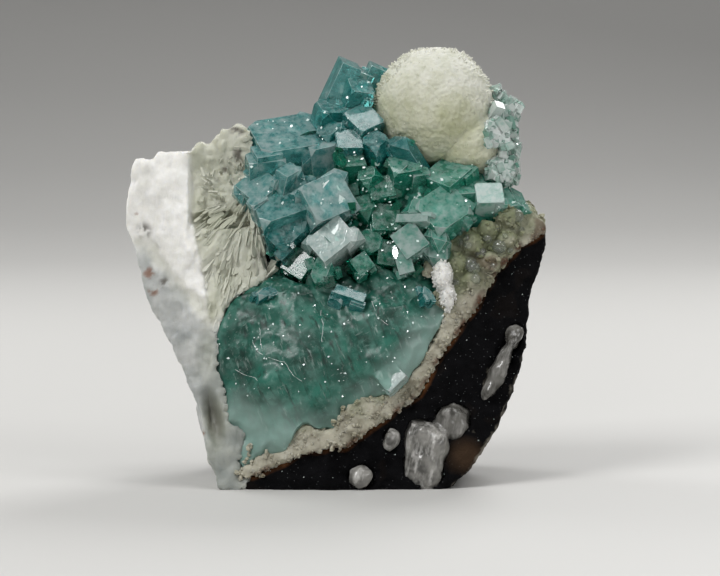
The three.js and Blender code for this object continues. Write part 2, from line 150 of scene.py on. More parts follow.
def press(piece, height):
    """Moves each point along its normal by height(place, normal), all in millimetres."""
    mesh = piece.data
    moved = []
    for vertex in mesh.vertices:
        place = own(vertex.co)
        if place.z < FOOT_BAND:
            moved.append(Vector((vertex.co.x, vertex.co.y, 0)))
        else:
            moved.append(vertex.co + vertex.normal * height(place, vertex.normal) * MM)
    mesh.vertices.foreach_set("co", np.array(moved).ravel())
    mesh.update()


def keep_in_box(piece):
    """Holds every point of a piece inside the box of the solids."""
    mesh = piece.data
    places = np.empty(len(mesh.vertices) * 3)
    mesh.vertices.foreach_get("co", places)
    places = np.clip(places.reshape(-1, 3), np.array(cad_box[0]), np.array(cad_box[1]))
    mesh.vertices.foreach_set("co", places.ravel())
    mesh.update()


def grain(place, size, seed=0, layers=3):
    """Noise from about -1 to 1 with lumps this wide, in millimetres."""
    return noise.fractal(place / size + Vector((seed, -seed, 2 * seed)), 1, 2, layers)


def creases(place, size, seed=0):
    """0 in the cracks between cells this wide and about 1 in their middles."""
    distances = noise.voronoi(place / size + Vector((seed, seed, seed)))[0]
    return min(1.0, distances[1] - distances[0])


def paint(piece, name, value):
    """Keeps value(place, normal) for each point, for a material to read."""
    mesh = piece.data
    layer = mesh.attributes.new(name, "FLOAT", "POINT")
    layer.data.foreach_set("value", [value(own(v.co), v.normal) for v in mesh.vertices])


def ease(low, high, value):
    """0 below low, 1 above high and smooth between."""
    t = max(0.0, min(1.0, (value - low) / (high - low)))
    return t * t * (3 - 2 * t)


# %% [markdown]
# ## Many small crystals
# Fibres, blades and grains repeat by the thousand. Each shape is modelled once. Copies of it are
# then joined in one mesh by arrays, every copy with its own place, and with its own shade kept as
# an attribute.

# %% Copying a shape to many places
EDGE_SHARE = 0.06  # a bevel's face is smaller than this share of the largest face
EDGE_HIGHLIGHT = 0.35  # how much paler a bevel face is painted, a painted highlight along the edges


def copies(name, shapes, places, shades=None, painted_edge_highlight=False):
    """One mesh with the shapes in turn at each place, a matrix.

    Its faces keep the copy's shade and axis, and whether they are the copy's end. When asked, its small bevel
    faces are painted paler, a painted highlight along the edges.
    """
    points, faces, shade, axis, ends = [], [], [], [], []
    start = 0
    for i, place in enumerate(places):
        mesh = shapes[i % len(shapes)].data
        flat = np.empty(len(mesh.vertices) * 3)
        mesh.vertices.foreach_get("co", flat)
        flat = flat.reshape(-1, 3)
        matrix = np.array(place)
        points.append(flat @ matrix[:3, :3].T + matrix[:3, 3])
        faces += [[start + v for v in face.vertices] for face in mesh.polygons]
        start += len(flat)
        own_shade = 0.5 if shades is None else shades[i]
        largest = max(face.area for face in mesh.polygons)
        for face in mesh.polygons:
            # Small bevel faces are painted paler: a painted highlight along the edges
            is_edge = painted_edge_highlight and face.area < EDGE_SHARE * largest
            shade.append(own_shade + (EDGE_HIGHLIGHT if is_edge else 0))
        axis += [matrix[:3, 2] / np.linalg.norm(matrix[:3, 2])] * len(mesh.polygons)
        # End faces are marked for a painted pearly sheen
        ends += [float(face.normal.z > 0.9) for face in mesh.polygons]
    mesh = bpy.data.meshes.new(name)
    mesh.from_pydata(np.concatenate(points).tolist(), [], faces)
    mesh.update()
    mesh.attributes.new("shade", "FLOAT", "FACE").data.foreach_set("value", shade)
    mesh.attributes.new("pearl_sheen", "FLOAT", "FACE").data.foreach_set("value", ends)
    mesh.attributes.new("axis", "FLOAT_VECTOR", "FACE").data.foreach_set("vector", np.array(axis).ravel())
    piece = bpy.data.objects.new(name, mesh)
    bpy.context.scene.collection.objects.link(piece)
    print(name, "copies:", len(places), "faces:", len(faces))
    return piece


def standing(tip, along, turn=0, size=1):
    """The matrix that stands a shape with its end at tip, pointing along, turned by this many degrees."""
    lean = Vector((0, 0, 1)).rotation_difference(Vector(along)).to_matrix().to_4x4()
    scale = Matrix.Diagonal((*(size if isinstance(size, tuple) else (size,) * 3), 1))
    return Matrix.Translation(tip) @ lean @ Matrix.Rotation(math.radians(turn), 4, "Z") @ scale


def scatter(surface, count, seed, wanted=lambda place, normal: True):
    """Even places on a solid, or on a piece made here, each with its normal, where wanted says so."""
    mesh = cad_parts[surface].data if isinstance(surface, str) else surface.data
    mesh.calc_loop_triangles()
    chance = np.random.default_rng(seed)
    corners = np.array([[mesh.vertices[v].co for v in t.vertices] for t in mesh.loop_triangles])
    normals = np.cross(corners[:, 1] - corners[:, 0], corners[:, 2] - corners[:, 0])
    areas = np.linalg.norm(normals, axis=1)
    found = []
    for triangle in chance.choice(len(areas), count * 4, p=areas / areas.sum()):
        a, b = sorted(chance.random(2))
        place = Vector(corners[triangle].T @ np.array([a, b - a, 1 - b]))
        normal = Vector(normals[triangle]).normalized()
        if wanted(own(place), normal):
            found.append((place, normal))
        if len(found) == count:
            break
    return found


# %% [markdown]
# ## Materials
# A mineral's colour is given as the eye would name it, in sRGB, and turned to the linear light that
# the shader needs. One helper adds a node with its settings and links. Patterns read Object
# coordinates, in millimetres.

# %% Building materials
def shade_of(code):
    """A linear colour from sRGB hex."""
    parts = [int(code[i:i + 2], 16) / 255 for i in (1, 3, 5)]
    return (*[c / 12.92 if c <= 0.04045 else ((c + 0.055) / 1.055) ** 2.4 for c in parts], 1)


def add(tree, kind, inputs=None, **settings):
    """Adds a node. An input is a value, or the output of another node to link."""
    made = tree.nodes.new(kind)
    for name, value in settings.items():
        setattr(made, name, value)
    for name, value in (inputs or {}).items():
        if isinstance(value, bpy.types.NodeSocket):
            tree.links.new(value, made.inputs[name])
        else:
            made.inputs[name].default_value = value
    return made


def new_material(name):
    """A material with its principled shader, and Object coordinates in millimetres."""
    material = bpy.data.materials.new(name)
    material.use_nodes = True
    tree = material.node_tree
    shader = tree.nodes["Principled BSDF"]
    coordinates = add(tree, "ShaderNodeTexCoord").outputs["Object"]
    metres = add(tree, "ShaderNodeMapping", {"Vector": coordinates, "Scale": (1000, 1000, 1000)})
    return material, tree, shader, metres.outputs["Vector"]


def noisy(tree, vector, size, detail=3, rough=0.55):
    """Noise with lumps this wide, in millimetres."""
    inputs = {"Vector": vector, "Scale": 1 / size, "Detail": detail, "Roughness": rough}
    return add(tree, "ShaderNodeTexNoise", inputs).outputs["Fac"]


def ramp(tree, factor, stops):
    """Colours along a factor, each stop as (place, hex)."""
    made = add(tree, "ShaderNodeValToRGB", {"Fac": factor})
    elements = made.color_ramp.elements
    elements[0].position, elements[0].color = stops[0][0], shade_of(stops[0][1])
    elements[1].position, elements[1].color = stops[-1][0], shade_of(stops[-1][1])
    for place, code in stops[1:-1]:
        elements.new(place).color = shade_of(code)
    return made.outputs["Color"]


def between(tree, factor, first, second, low=0.0, high=1.0):
    """Goes from the first colour to the second as factor goes from low to high."""
    reach = {"Value": factor, "From Min": low, "From Max": high}
    share = add(tree, "ShaderNodeMapRange", reach).outputs["Result"]
    made = add(tree, "ShaderNodeMix", {"Factor": share}, data_type="RGBA")
    for socket, colour in ((made.inputs[6], first), (made.inputs[7], second)):
        if isinstance(colour, str):
            socket.default_value = shade_of(colour)
        else:
            tree.links.new(colour, socket)
    return made.outputs[2]


def bumped(tree, shader, height, depth, under=None):
    """Roughens the shader's normal by a height that is depth millimetres from lowest to highest."""
    inputs = {"Height": height, "Distance": depth * MM, "Strength": 1.0}
    if under is not None:
        inputs["Normal"] = under
    made = add(tree, "ShaderNodeBump", inputs).outputs["Normal"]
    tree.links.new(made, shader.inputs["Normal"])
    return made


def kept(tree, name):
    """What paint or copies kept under this name."""
    return add(tree, "ShaderNodeAttribute", attribute_name=name).outputs["Fac"]


# %% [markdown]
# ## Handing a piece over
# A finished piece rides on the specimen's one body, takes its finish, and hides the solid it stands
# for.

# %% Finishing a piece
def finish(piece, node, material, smooth=None):
    """Hands a piece over. Edges up to the angle smooth look round: all by default, and none at 0."""
    keep_in_box(piece)
    piece.data.materials.clear()
    piece.data.materials.append(material)
    pick(piece)
    if smooth is None:
        bpy.ops.object.shade_smooth()
    elif smooth:
        bpy.ops.object.shade_smooth_by_angle(angle=math.radians(smooth))
    else:
        bpy.ops.object.shade_flat()
    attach(piece, "root")
    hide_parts(node)
    print(piece.name, "faces:", len(piece.data.polygons))


# %% [markdown]
# ## Apophyllite crystals
# Apophyllite grows as square prisms with a flat, pearly end and four steep faces that cut the
# corners. Each large crystal starts from a cube as long and wide as the real one. Four bisects cut
# its corners, and a fine bevel rounds its edges, because an edge that is perfectly sharp catches no
# light. The tables say where each one stands.

# %% One crystal
PYRAMID_ANGLE = math.radians(60.5)
made_shapes = []


def crystal_shape(half, length, point=0.0, edge=0.12):
    """A prism that reaches down from the origin. half is its half widths, point how sharp its end is."""
    a, b = half
    bpy.ops.object.select_all(action="DESELECT")
    bpy.ops.mesh.primitive_cube_add(size=1, location=(0, 0, -length / 2 * MM))
    shape = bpy.context.object
    shape.scale = (2 * a * MM, 2 * b * MM, length * MM)
    settle(shape)
    apex = (1 - point) * (a + b) / math.sqrt(2) * math.tan(PYRAMID_ANGLE) * MM
    bpy.ops.object.mode_set(mode="EDIT")
    for across, deep in ((1, 1), (1, -1), (-1, 1), (-1, -1)) if point else ():
        out = Vector((across * b, deep * a, 0)).normalized() * math.sin(PYRAMID_ANGLE)
        out.z = math.cos(PYRAMID_ANGLE)
        bpy.ops.mesh.select_all(action="SELECT")
        bpy.ops.mesh.bisect(plane_co=(0, 0, apex), plane_no=out, use_fill=True, clear_outer=True)
    bpy.ops.mesh.select_all(action="SELECT")
    bpy.ops.mesh.remove_doubles(threshold=0.002 * MM)
    bpy.ops.mesh.normals_make_consistent(inside=False)
    bpy.ops.object.mode_set(mode="OBJECT")
    if edge:
        bevel = shape.modifiers.new("edge", "BEVEL")
        bevel.width = edge * MM
        bevel.segments = 2
        bevel.limit_method = "ANGLE"
        bevel.angle_limit = math.radians(15)
        apply_all(shape)
    made_shapes.append(shape)
    return shape


def drop_shapes():
    """Clears away the shapes that the copies were made from."""
    for shape in made_shapes:
        bpy.data.objects.remove(shape)
    made_shapes.clear()


# %% Where the large crystals stand
# Each row: tip, pointing, half widths, length, turn, point, and shade from 0, deep green, to 1, pale mint.
LEAN = (0.42, -0.12, 0.9)
TALL_ROWS = [
    ((3.2, 2, 94.5), LEAN, (2.4, 3.2), 22, 12, 0.05, 0.6),
    ((5.9, 3.5, 92.8), LEAN, (2.2, 2.8), 22, 25, 0.12, 0.65),
    ((10, 5.5, 93.4), LEAN, (2.5, 2.6), 24, 8, 0.05, 0.55),
    ((12.4, 7, 92.9), (0.3, 0, 0.95), (1.8, 1.8), 20, 40, 0, 0.6),
    ((5.7, -2, 89.6), (0.35, -0.5, 0.8), (2.9, 2.5), 16, 20, 0.15, 0.5),
    ((-0.7, -3, 85.1), (0.22, -0.45, 0.87), (3.4, 2.8), 18, 24, 0.2, 0.4),
    ((6.3, -5, 82.6), (0.15, -0.66, 0.74), (3.5, 3.5), 16, 42, 0.1, 0.5),
    ((-2, -6, 80.2), (-0.3, -0.62, 0.74), (2.5, 2.5), 12, 35, 0.3, 0.35),
    ((2.9, -8.5, 77.9), (0.12, -0.66, 0.74), (2.9, 2.9), 14, 10, 0, 0.4),
    ((8.6, -9, 77.9), (-0.15, -0.6, 0.8), (2.6, 2.6), 14, 44, 0.3, 0.35),
    ((12.7, -8.5, 77.5), (-0.5, -0.35, 0.8), (1.7, 3.7), 18, 62, 0.6, 0.4),
]
BLOCKY_ROWS = [
    ((-10.9, -4, 79.1), (0.03, -0.5, 0.86), (8, 6.6), 26, 19, 0.16, 0.68),
    ((-1.6, -17.5, 65.5), (0.3, -0.86, 0.42), (5.4, 4.7), 22, 40, 0.12, 0.8),
    ((-12.4, -15, 65.3), (-0.14, -0.74, 0.66), (6.4, 5.8), 22, 14, 0.18, 0.5),
    ((-17.6, -12, 67.8), (-0.3, -0.66, 0.68), (3.7, 4.4), 16, 30, 0, 0.75),
    ((-11.5, -17, 58.4), (-0.1, -0.93, 0.34), (4.4, 3.6), 18, 40, 0.35, 0.3),
    ((-10.6, -15, 71.4), (0.2, -0.5, 0.84), (2.6, 1.7), 10, 55, 0, 0.7),
]
MIDDLE_ROWS = [
    ((-1.1, -19.5, 56.2), (-0.1, -0.92, 0.38), (4.7, 3.4), 16, 35, 0.08, 0.7),
    ((3.6, -9.5, 73.7), (0.1, -0.6, 0.78), (2.8, 2.8), 11.2, 15, 0, 0.3),
    ((6.8, -11.5, 70.4), (-0.3, -0.6, 0.72), (2.3, 2.3), 9.2, 38, 0.4, 0.35),
    ((10.2, -11.5, 67.3), (0.2, -0.74, 0.62), (2.8, 2.8), 11.2, 24, 0, 0.2),
    ((6.3, -13, 63.8), (-0.14, -0.7, 0.7), (2.6, 2.6), 10.4, 50, 0.4, 0.15),
    ((11.3, -13.5, 60.6), (0.22, -0.84, 0.5), (3.3, 3.3), 13.2, 12, 0.1, 0.1),
    ((7.5, -15.5, 55.4), (0.05, -0.9, 0.42), (2.8, 2.8), 11.2, 33, 0.35, 0.15),
    ((12.2, -15, 52.6), (0.3, -0.9, 0.3), (2.9, 2.9), 11.6, 8, 0, 0.1),
    ((5.9, -18.5, 50.6), (0.1, -0.93, 0.34), (2.1, 2.1), 8.4, 40, 0, 0.35),
    ((-3.2, -18.5, 49.7), (-0.1, -0.93, 0.3), (2.5, 2.5), 10, 20, 0.5, 0.45),
    ((-8.6, -15.5, 50.4), (-0.25, -0.9, 0.35), (3, 3), 12, 45, 0, 0.1),
]
RIGHT_ROWS = [
    ((15.4, -9.5, 72.5), (0.06, -0.62, 0.78), (3.5, 3), 14, 20, 0.15, 0.45),
    ((24.9, -8.5, 70.4), (-0.1, -0.55, 0.83), (4.1, 4.1), 16.4, 50, 0, 0.5),
    ((24.2, -14.5, 63), (0.08, -0.8, 0.6), (5.2, 4.7), 20.8, 42, 0.2, 0.6),
    ((29.9, -7.5, 68.1), (0.2, -0.56, 0.8), (3.9, 3.9), 15.6, 24, 0, 0.55),
    ((34.6, -10, 65.8), (0.12, -0.76, 0.64), (3.2, 2.8), 12.8, 10, 0.1, 0.9),
    ((37.8, -7.5, 64.4), (0.3, -0.7, 0.65), (2.6, 2.6), 12, 35, 0, 0.55),
    ((41.4, -4, 64.3), (0.62, -0.3, 0.73), (2, 3.2), 12, 25, 0, 0.6),
    ((17, -15.5, 60.6), (-0.5, -0.74, 0.46), (1, 4.2), 12, 60, 0.5, 0.9),
    ((16.5, -16.4, 55.7), (-0.16, -0.93, 0.34), (3.1, 3.4), 13.6, 28, 0, 0.85),
    ((15.2, -17, 50.9), (-0.08, -0.96, 0.25), (1.8, 2.8), 12, 12, 0, 0.8),
    ((22.9, -15, 53.5), (0.2, -0.93, 0.3), (2.8, 3.2), 12.8, 50, 0.5, 0.8),
]
CREST_ROWS = [
    ((36.7, 1.5, 85.7), (0.3, -0.2, 0.93), (2.4, 2.4), 12, 20, 0, 0.8),
    ((41.6, 1, 82.3), (0.84, -0.1, -0.5), (0.9, 2.6), 14, 70, 0.9, 0.9),
    ((39.4, -1, 81.3), (0.84, -0.5, 0.2), (3, 3.6), 12, 30, 0.2, 0.8),
    ((40.7, -0.5, 75.2), (0.9, -0.4, 0.16), (2.8, 3.2), 12, 20, 0.15, 0.7),
    ((40.5, -1.5, 70), (0.86, -0.45, -0.1), (3, 3), 12, 40, 0.3, 0.75),
    ((36.9, -6.5, 78.9), (0.45, -0.88, 0.12), (2.8, 2.8), 12, 25, 0, 0.9),
    ((37.8, -6, 71.3), (0.4, -0.86, 0.25), (2.9, 2.9), 12, 15, 0.3, 0.8),
]


def large_crystals(name, rows, seed, beside):
    """Each crystal of the table, with smaller ones grown beside it nearly parallel, melted to one body."""
    chance = np.random.default_rng(seed)
    shapes, places, shades = [], [], []
    for tip, along, half, length, turn, point, shade in rows:
        stand = standing(at(*tip), along, turn)
        shapes.append(crystal_shape(half, length, point, 0.1))
        places.append(stand)
        shades.append(shade)
        for _ in range(beside):
            small = [side * chance.uniform(0.3, 0.6) for side in half]
            aside = [side * chance.uniform(0.55, 0.9) * chance.choice([-1, 1]) for side in half]
            offset = Vector((aside[0], aside[1], chance.uniform(-2.2, 0.25))) * MM
            angle = math.radians(chance.normal(0, 5))
            twist = Matrix.Rotation(angle, 4, Vector(chance.normal(0, 1, 3)).normalized())
            shapes.append(crystal_shape(small, max(small) * 3, chance.choice([0, 0.2, 0.5]), 0.07))
            places.append(stand @ Matrix.Translation(offset) @ twist)
            shades.append(float(np.clip(shade + chance.normal(0, 0.15), 0, 1)))
    rest = copies(name + "_rest", shapes[1:], places[1:], shades[1:], True)
    piece = copies(name, shapes[:1], places[:1], shades[:1], True)
    melt = piece.modifiers.new("melt", "BOOLEAN")
    melt.operation = "UNION"
    melt.solver = "EXACT"
    melt.use_self = True
    melt.object = rest
    apply_all(piece)
    bpy.data.objects.remove(rest)
    drop_shapes()
    print(name, "melted:", len(piece.data.polygons), "faces")
    return piece


tall = large_crystals("apophyllite_tall", TALL_ROWS, 1, 2)
blocky = large_crystals("apophyllite_blocky", BLOCKY_ROWS, 2, 5)
middle = large_crystals("apophyllite_middle", MIDDLE_ROWS[1:], 3, 2)
silver = large_crystals("apophyllite_silver", MIDDLE_ROWS[:1], 7, 2)
right = large_crystals("apophyllite_right", RIGHT_ROWS, 4, 2)
crest = large_crystals("apophyllite_crest_plates", CREST_ROWS, 5, 3)

# %% [markdown]
# ## A druse of small crystals
# Between the large crystals the real surface is crowded with small ones, a millimetre or two wide.
# They are what makes it sparkle. A few shapes are modelled once, then stood all over the solid's
# surface, leaning at random.

# %% Small crystals between the large ones
def druse(name, node, count, seed, sizes, wanted, shade):
    """Small crystals on a solid, half of them smaller and a few larger than the sizes say."""
    shapes = [
        crystal_shape((1, 1), 4, 0.1, 0),
        crystal_shape((1, 0.8), 4, 0.4, 0),
        crystal_shape((0.9, 1.1), 4, 0, 0),
        crystal_shape((1, 0.7), 4, 0.7, 0),
    ]
    chance = np.random.default_rng(seed)
    places, shades = [], []
    for spot, normal in scatter(node, count, seed, wanted):
        lean = (normal + Vector(chance.normal(0, 0.45, 3))).normalized()
        size = chance.uniform(*sizes) * chance.choice([0.7, 1, 1.5], p=[0.5, 0.35, 0.15])
        proud = chance.uniform(0.1, 0.9)
        places.append(standing(spot + normal * size * proud * MM, lean, chance.uniform(0, 90), size))
        shades.append(float(np.clip(shade(own(spot)) + chance.normal(0, 0.2), 0, 1)))
    piece = copies(name, shapes, places, shades)
    drop_shapes()
    return piece


def on_an_end(place):
    """Whether a place lies on the wide end of a large crystal, which stays bare."""
    rows = TALL_ROWS + BLOCKY_ROWS + MIDDLE_ROWS + RIGHT_ROWS
    return any((place - Vector(tip)).length < max(half) + 0.8 for tip, _, half, *_ in rows)


def in_front(place, normal):
    """The hollows of the show side, but not the wide faces at the upper left."""
    hollow_part = normal.y < 0.3 and 45 < place.z < 86 and (place.x > -1 or place.z < 55)
    return hollow_part and not on_an_end(place)


def depth_shade(place):
    """Deep green in the middle of the jumble and paler to its right and top."""
    return 0.25 + 0.3 * ease(14, 24, place.x) + 0.25 * ease(76, 90, place.z) + 0.2 * ease(-6, -16, place.x)


small = druse("apophyllite_druse", "apophyllite_crystals", 240, 5, (0.5, 1.1), in_front, depth_shade)
crest_small = druse(
    "apophyllite_crest_druse", "apophyllite_crest", 260, 6, (0.4, 0.8),
    wanted=lambda p, n: n.y < 0.6, shade=lambda p: 0.8,
)

# %% [markdown]
# ## Cracks inside the crystals
# Clear apophyllite is never empty. It splits easily across its length, so silvery cracks and green
# ghosts of older faces float inside. Each is a thin broken plate, modelled once from a disc and set
# at random inside the crystals.

# %% Broken plates inside the crystals
def plate_shape(corners, seed):
    """A thin plate with a broken outline, 1 mm in radius."""
    bpy.ops.object.select_all(action="DESELECT")
    bpy.ops.mesh.primitive_circle_add(vertices=corners, radius=1 * MM, fill_type="NGON", location=(0, 0, 0))
    shape = bpy.context.object
    chance = np.random.default_rng(seed)
    for vertex in shape.data.vertices:
        vertex.co *= chance.uniform(0.5, 1.1)
    bpy.ops.object.mode_set(mode="EDIT")
    bpy.ops.mesh.select_all(action="SELECT")
    bpy.ops.mesh.extrude_region_move(TRANSFORM_OT_translate={"value": (0, 0, 0.04 * MM)})
    bpy.ops.mesh.select_all(action="SELECT")
    bpy.ops.mesh.normals_make_consistent(inside=False)
    bpy.ops.object.mode_set(mode="OBJECT")
    made_shapes.append(shape)
    return shape


def cracks_inside(name, rows, seed, each):
    """Broken plates in each crystal, most of them nearly across its length."""
    shapes = [plate_shape(corners, i) for i, corners in enumerate((6, 7, 9, 5))]
    chance = np.random.default_rng(seed)
    places, shades = [], []
    for tip, along, half, length, turn, _, _ in rows:
        stand = standing(at(*tip), along, turn)
        for _ in range(each):
            deep = chance.uniform(0.4, min(length, 9))
            aside = [chance.uniform(-0.6, 0.6) * side for side in half]
            place = Vector((*aside, -deep)) * MM
            lean = Vector(chance.normal(0, (0.35 if chance.random() < 0.6 else 1.2), 3)) + Vector((0, 0, 1))
            size = chance.uniform(0.2, 0.5) * min(half)
            places.append(stand @ standing(place, lean.normalized(), chance.uniform(0, 360), size))
            shades.append(chance.random())
    piece = copies(name, shapes, places, shades)
    drop_shapes()
    return piece


def pearly_ends(name, rows, seed, each):
    """Thin silvery plates just under the end faces, where the crystal has begun to split."""
    shapes = [plate_shape(corners, i + 10) for i, corners in enumerate((5, 6, 7))]
    chance = np.random.default_rng(seed)
    places, shades = [], []
    for tip, along, half, _, turn, _, _ in rows:
        stand = standing(at(*tip), along, turn)
        for _ in range(each):
            aside = [chance.uniform(-0.7, 0.7) * side for side in half]
            place = Vector((*aside, -chance.uniform(0.05, 0.5)))
            lean = Vector((*chance.normal(0, 0.08, 2), 1)).normalized()
            spin = chance.uniform(0, 360)
            size = chance.uniform(0.25, 0.5) * min(half)
            places.append(stand @ standing(place * MM, lean, spin, size))
            shades.append(chance.uniform(0.6, 1))
    piece = copies(name, shapes, places, shades)
    drop_shapes()
    return piece


pearl_sheen = pearly_ends("apophyllite_pearl", [MIDDLE_ROWS[0], MIDDLE_ROWS[0], BLOCKY_ROWS[1]], 13, 9)
cracks = cracks_inside("apophyllite_cracks", TALL_ROWS + BLOCKY_ROWS + MIDDLE_ROWS + RIGHT_ROWS, 11, 9)
crest_cracks = cracks_inside("apophyllite_crest_cracks", CREST_ROWS, 12, 6)

# %% [markdown]
# ## Apophyllite's finish
# Apophyllite is a glassy mineral with an index of refraction of about 1.54. Iron and vanadium tint
# it green, so light that crosses a centimetre of it comes out deep teal. These crystals are full of
# fine veils, so about half of the light comes back from just inside, and the rest goes through. The
# faces themselves stay as smooth as glass. The end face is pearly because the crystal splits along
# it, and its pearly sheen is painted as a paler colour, a painted reflection. The bevelled edges are
# painted paler too, as a painted highlight.

# %% Glassy green, with milky veils
APOPHYLLITE_IOR = 1.535


def apophyllite(name, colours, clear, absorb, density, crumple=0.0, dullest=0.15):
    """Grown faces: glassy, with milky veils and growth lines. End faces are painted paler as a painted pearly
    sheen, and bevels paler as a painted highlight. crumple is a crackled face's depth.
    """
    material, tree, shader, place = new_material(name)
    veil = noisy(tree, place, 2.8, 5, 0.65)
    cloud = add(tree, "ShaderNodeMath", {0: veil, 1: 1.6, 2: -0.8}, operation="MULTIPLY_ADD").outputs[0]
    amount = add(tree, "ShaderNodeMath", {0: cloud, 1: kept(tree, "shade")}, operation="ADD").outputs[0]
    body = ramp(tree, amount, colours)
    # Painted sheen: end faces turn towards the palest colour, which stands in for their pearly reflection
    flakes = noisy(tree, place, 1.2, 4)
    painted_sheen = add(tree, "ShaderNodeMath", {0: kept(tree, "pearl_sheen"), 1: flakes}, operation="MULTIPLY")
    body = between(tree, painted_sheen.outputs[0], body, colours[-1][1], 0.35, 1.0)
    tree.links.new(body, shader.inputs["Base Color"])
    veiled = {"Value": veil, "From Min": 0.5, "From Max": 0.8, "To Min": 0.03, "To Max": dullest}
    dull = add(tree, "ShaderNodeMapRange", veiled)
    tree.links.new(dull.outputs["Result"], shader.inputs["Roughness"])
    shader.inputs["IOR"].default_value = APOPHYLLITE_IOR
    shader.inputs["Transmission Weight"].default_value = clear
    # The growth lines run along the crystal: the part of a place that lies along its axis is taken away
    axis = add(tree, "ShaderNodeAttribute", attribute_name="axis").outputs["Vector"]
    height = add(tree, "ShaderNodeVectorMath", {0: place, 1: axis}, operation="DOT_PRODUCT").outputs["Value"]
    rise = add(tree, "ShaderNodeVectorMath", {0: axis, "Scale": height}, operation="SCALE").outputs["Vector"]
    around = add(tree, "ShaderNodeVectorMath", {0: place, 1: rise}, operation="SUBTRACT").outputs["Vector"]
    under = bumped(tree, shader, noisy(tree, around, 0.6, 2), 0.004)
    if crumple:
        bumped(tree, shader, noisy(tree, place, 1.1, 3, 0.6), crumple, under)
    inside = add(tree, "ShaderNodeVolumeAbsorption", {"Color": absorb, "Density": density})
    tree.links.new(inside.outputs["Volume"], tree.nodes["Material Output"].inputs["Volume"])
    return material


GREEN = [(0, "#0c6b50"), (0.4, "#2a9c80"), (0.7, "#74c4b0"), (1, "#d8eee8")]
BLUE_GREEN = [(0, "#0f6a66"), (0.35, "#2b8c89"), (0.7, "#68b4b2"), (1, "#d4ecea")]
PALE_GREEN = [(0, "#5f9f8c"), (0.4, "#8fbfae"), (0.8, "#c6dfd5"), (1, "#eef6f2")]
# Pale silver colours paint the pearly faces' reflection of the lamp, and the faces also lean so that they
# mirror the key lamp
PAINTED_SILVER_SHEEN = [(0, "#7aa39b"), (0.5, "#a3c0ba"), (1, "#e4eeeb")]
green_glass = apophyllite("apophyllite_green_crystal", GREEN, 0.6, (0.10, 0.80, 0.68, 1), 30)
blue_glass = apophyllite("apophyllite_blue_green_crystal", BLUE_GREEN, 0.6, (0.10, 0.80, 0.75, 1), 30)
pale_glass = apophyllite("apophyllite_pale_crystal", PALE_GREEN, 0.5, (0.35, 0.85, 0.78, 1), 30)
silver_glass = apophyllite("apophyllite_pearly_face", PAINTED_SILVER_SHEEN, 0.4, (0.35, 0.85, 0.78, 1), 30, 0.16, 0.6)


# %% Silvery cracks, and handing the crystals over
def crack_finish():
    """Cracks reflect like thin silver, and the ghosts are deep green."""
    material, tree, shader, place = new_material("apophyllite_crack")
    ghosts = [(0, "#0f4b3e"), (0.35, "#2f8170"), (0.6, "#8fc4b8"), (1, "#f2f8f6")]
    body = ramp(tree, kept(tree, "shade"), ghosts)
    body = between(tree, noisy(tree, place, 0.7, 4), body, "#4f9d8e", 0.55, 0.7)
    tree.links.new(body, shader.inputs["Base Color"])
    shader.inputs["Roughness"].default_value = 0.2
    shader.inputs["Alpha"].default_value = 0.75
    return material


crack_glass = crack_finish()
finish(cracks, "apophyllite_crystals", crack_glass, 0)
finish(pearl_sheen, "apophyllite_crystals", crack_glass, 0)
finish(crest_cracks, "apophyllite_crest", crack_glass, 0)
for piece, glass in ((tall, blue_glass), (blocky, blue_glass), (middle, green_glass), (right, green_glass)):
    finish(piece, "apophyllite_crystals", glass, 0)
finish(silver, "apophyllite_crystals", silver_glass, 0)
finish(small, "apophyllite_crystals", green_glass, 0)
finish(crest, "apophyllite_crest", pale_glass, 0)
finish(crest_small, "apophyllite_crest", pale_glass, 0)

# %% [markdown]
# ## The root that the crystals grow from
# Under the crystals is a darker, crowded mass of older ones. It is what gives the hollows their
# bottle green.

# %% The root of the druse
ROOTS = [
    ((3.5, 2, 75), (8, 7, 10)),
    ((-10.5, -2, 62), (10, 8, 13)),
    ((3, -2, 60), (16, 9, 15)),
    ((25, -2, 62), (16, 9, 11)),
]


def root_mass(name, rows, seed):
    """Round lumps joined to one body, with a crowded surface."""
    lumps = []
    for centre, radii in rows:
        bpy.ops.object.select_all(action="DESELECT")
        bpy.ops.mesh.primitive_ico_sphere_add(subdivisions=4, radius=1, location=at(*centre))
        lump = bpy.context.object
        lump.scale = Vector(radii) * 0.93 * MM
        settle(lump)
        lumps.append(lump)
    pick(*lumps)
    bpy.ops.object.join()
    piece = bpy.context.object
    piece.name = piece.data.name = name
    settle(piece)
    skin(piece, 0.7)
    press(piece, lambda place, normal: 1.1 * creases(place, 3.2, seed) - 0.9 + 0.3 * grain(place, 2, seed))
    return piece


def bottle_green(name, dark, middle, light):
    """Crowded older crystals: glassy cells under 2 mm wide, each of its own shade."""
    material, tree, shader, place = new_material(name)
    cells = add(tree, "ShaderNodeTexVoronoi", {"Vector": place, "Scale": 1 / 1.7, "Randomness": 1.0})
    chosen = add(tree, "ShaderNodeSeparateColor", {"Color": cells.outputs["Color"]}).outputs["Red"]
    body = ramp(tree, chosen, [(0, dark), (0.5, middle), (0.8, middle), (1, light)])
    body = between(tree, noisy(tree, place, 2, 4), body, dark, 0.45, 0.75)
    tree.links.new(body, shader.inputs["Base Color"])
    shader.inputs["Roughness"].default_value = 0.12
    shader.inputs["IOR"].default_value = APOPHYLLITE_IOR
    bumped(tree, shader, noisy(tree, place, 1.0, 3), 0.15)
    return material


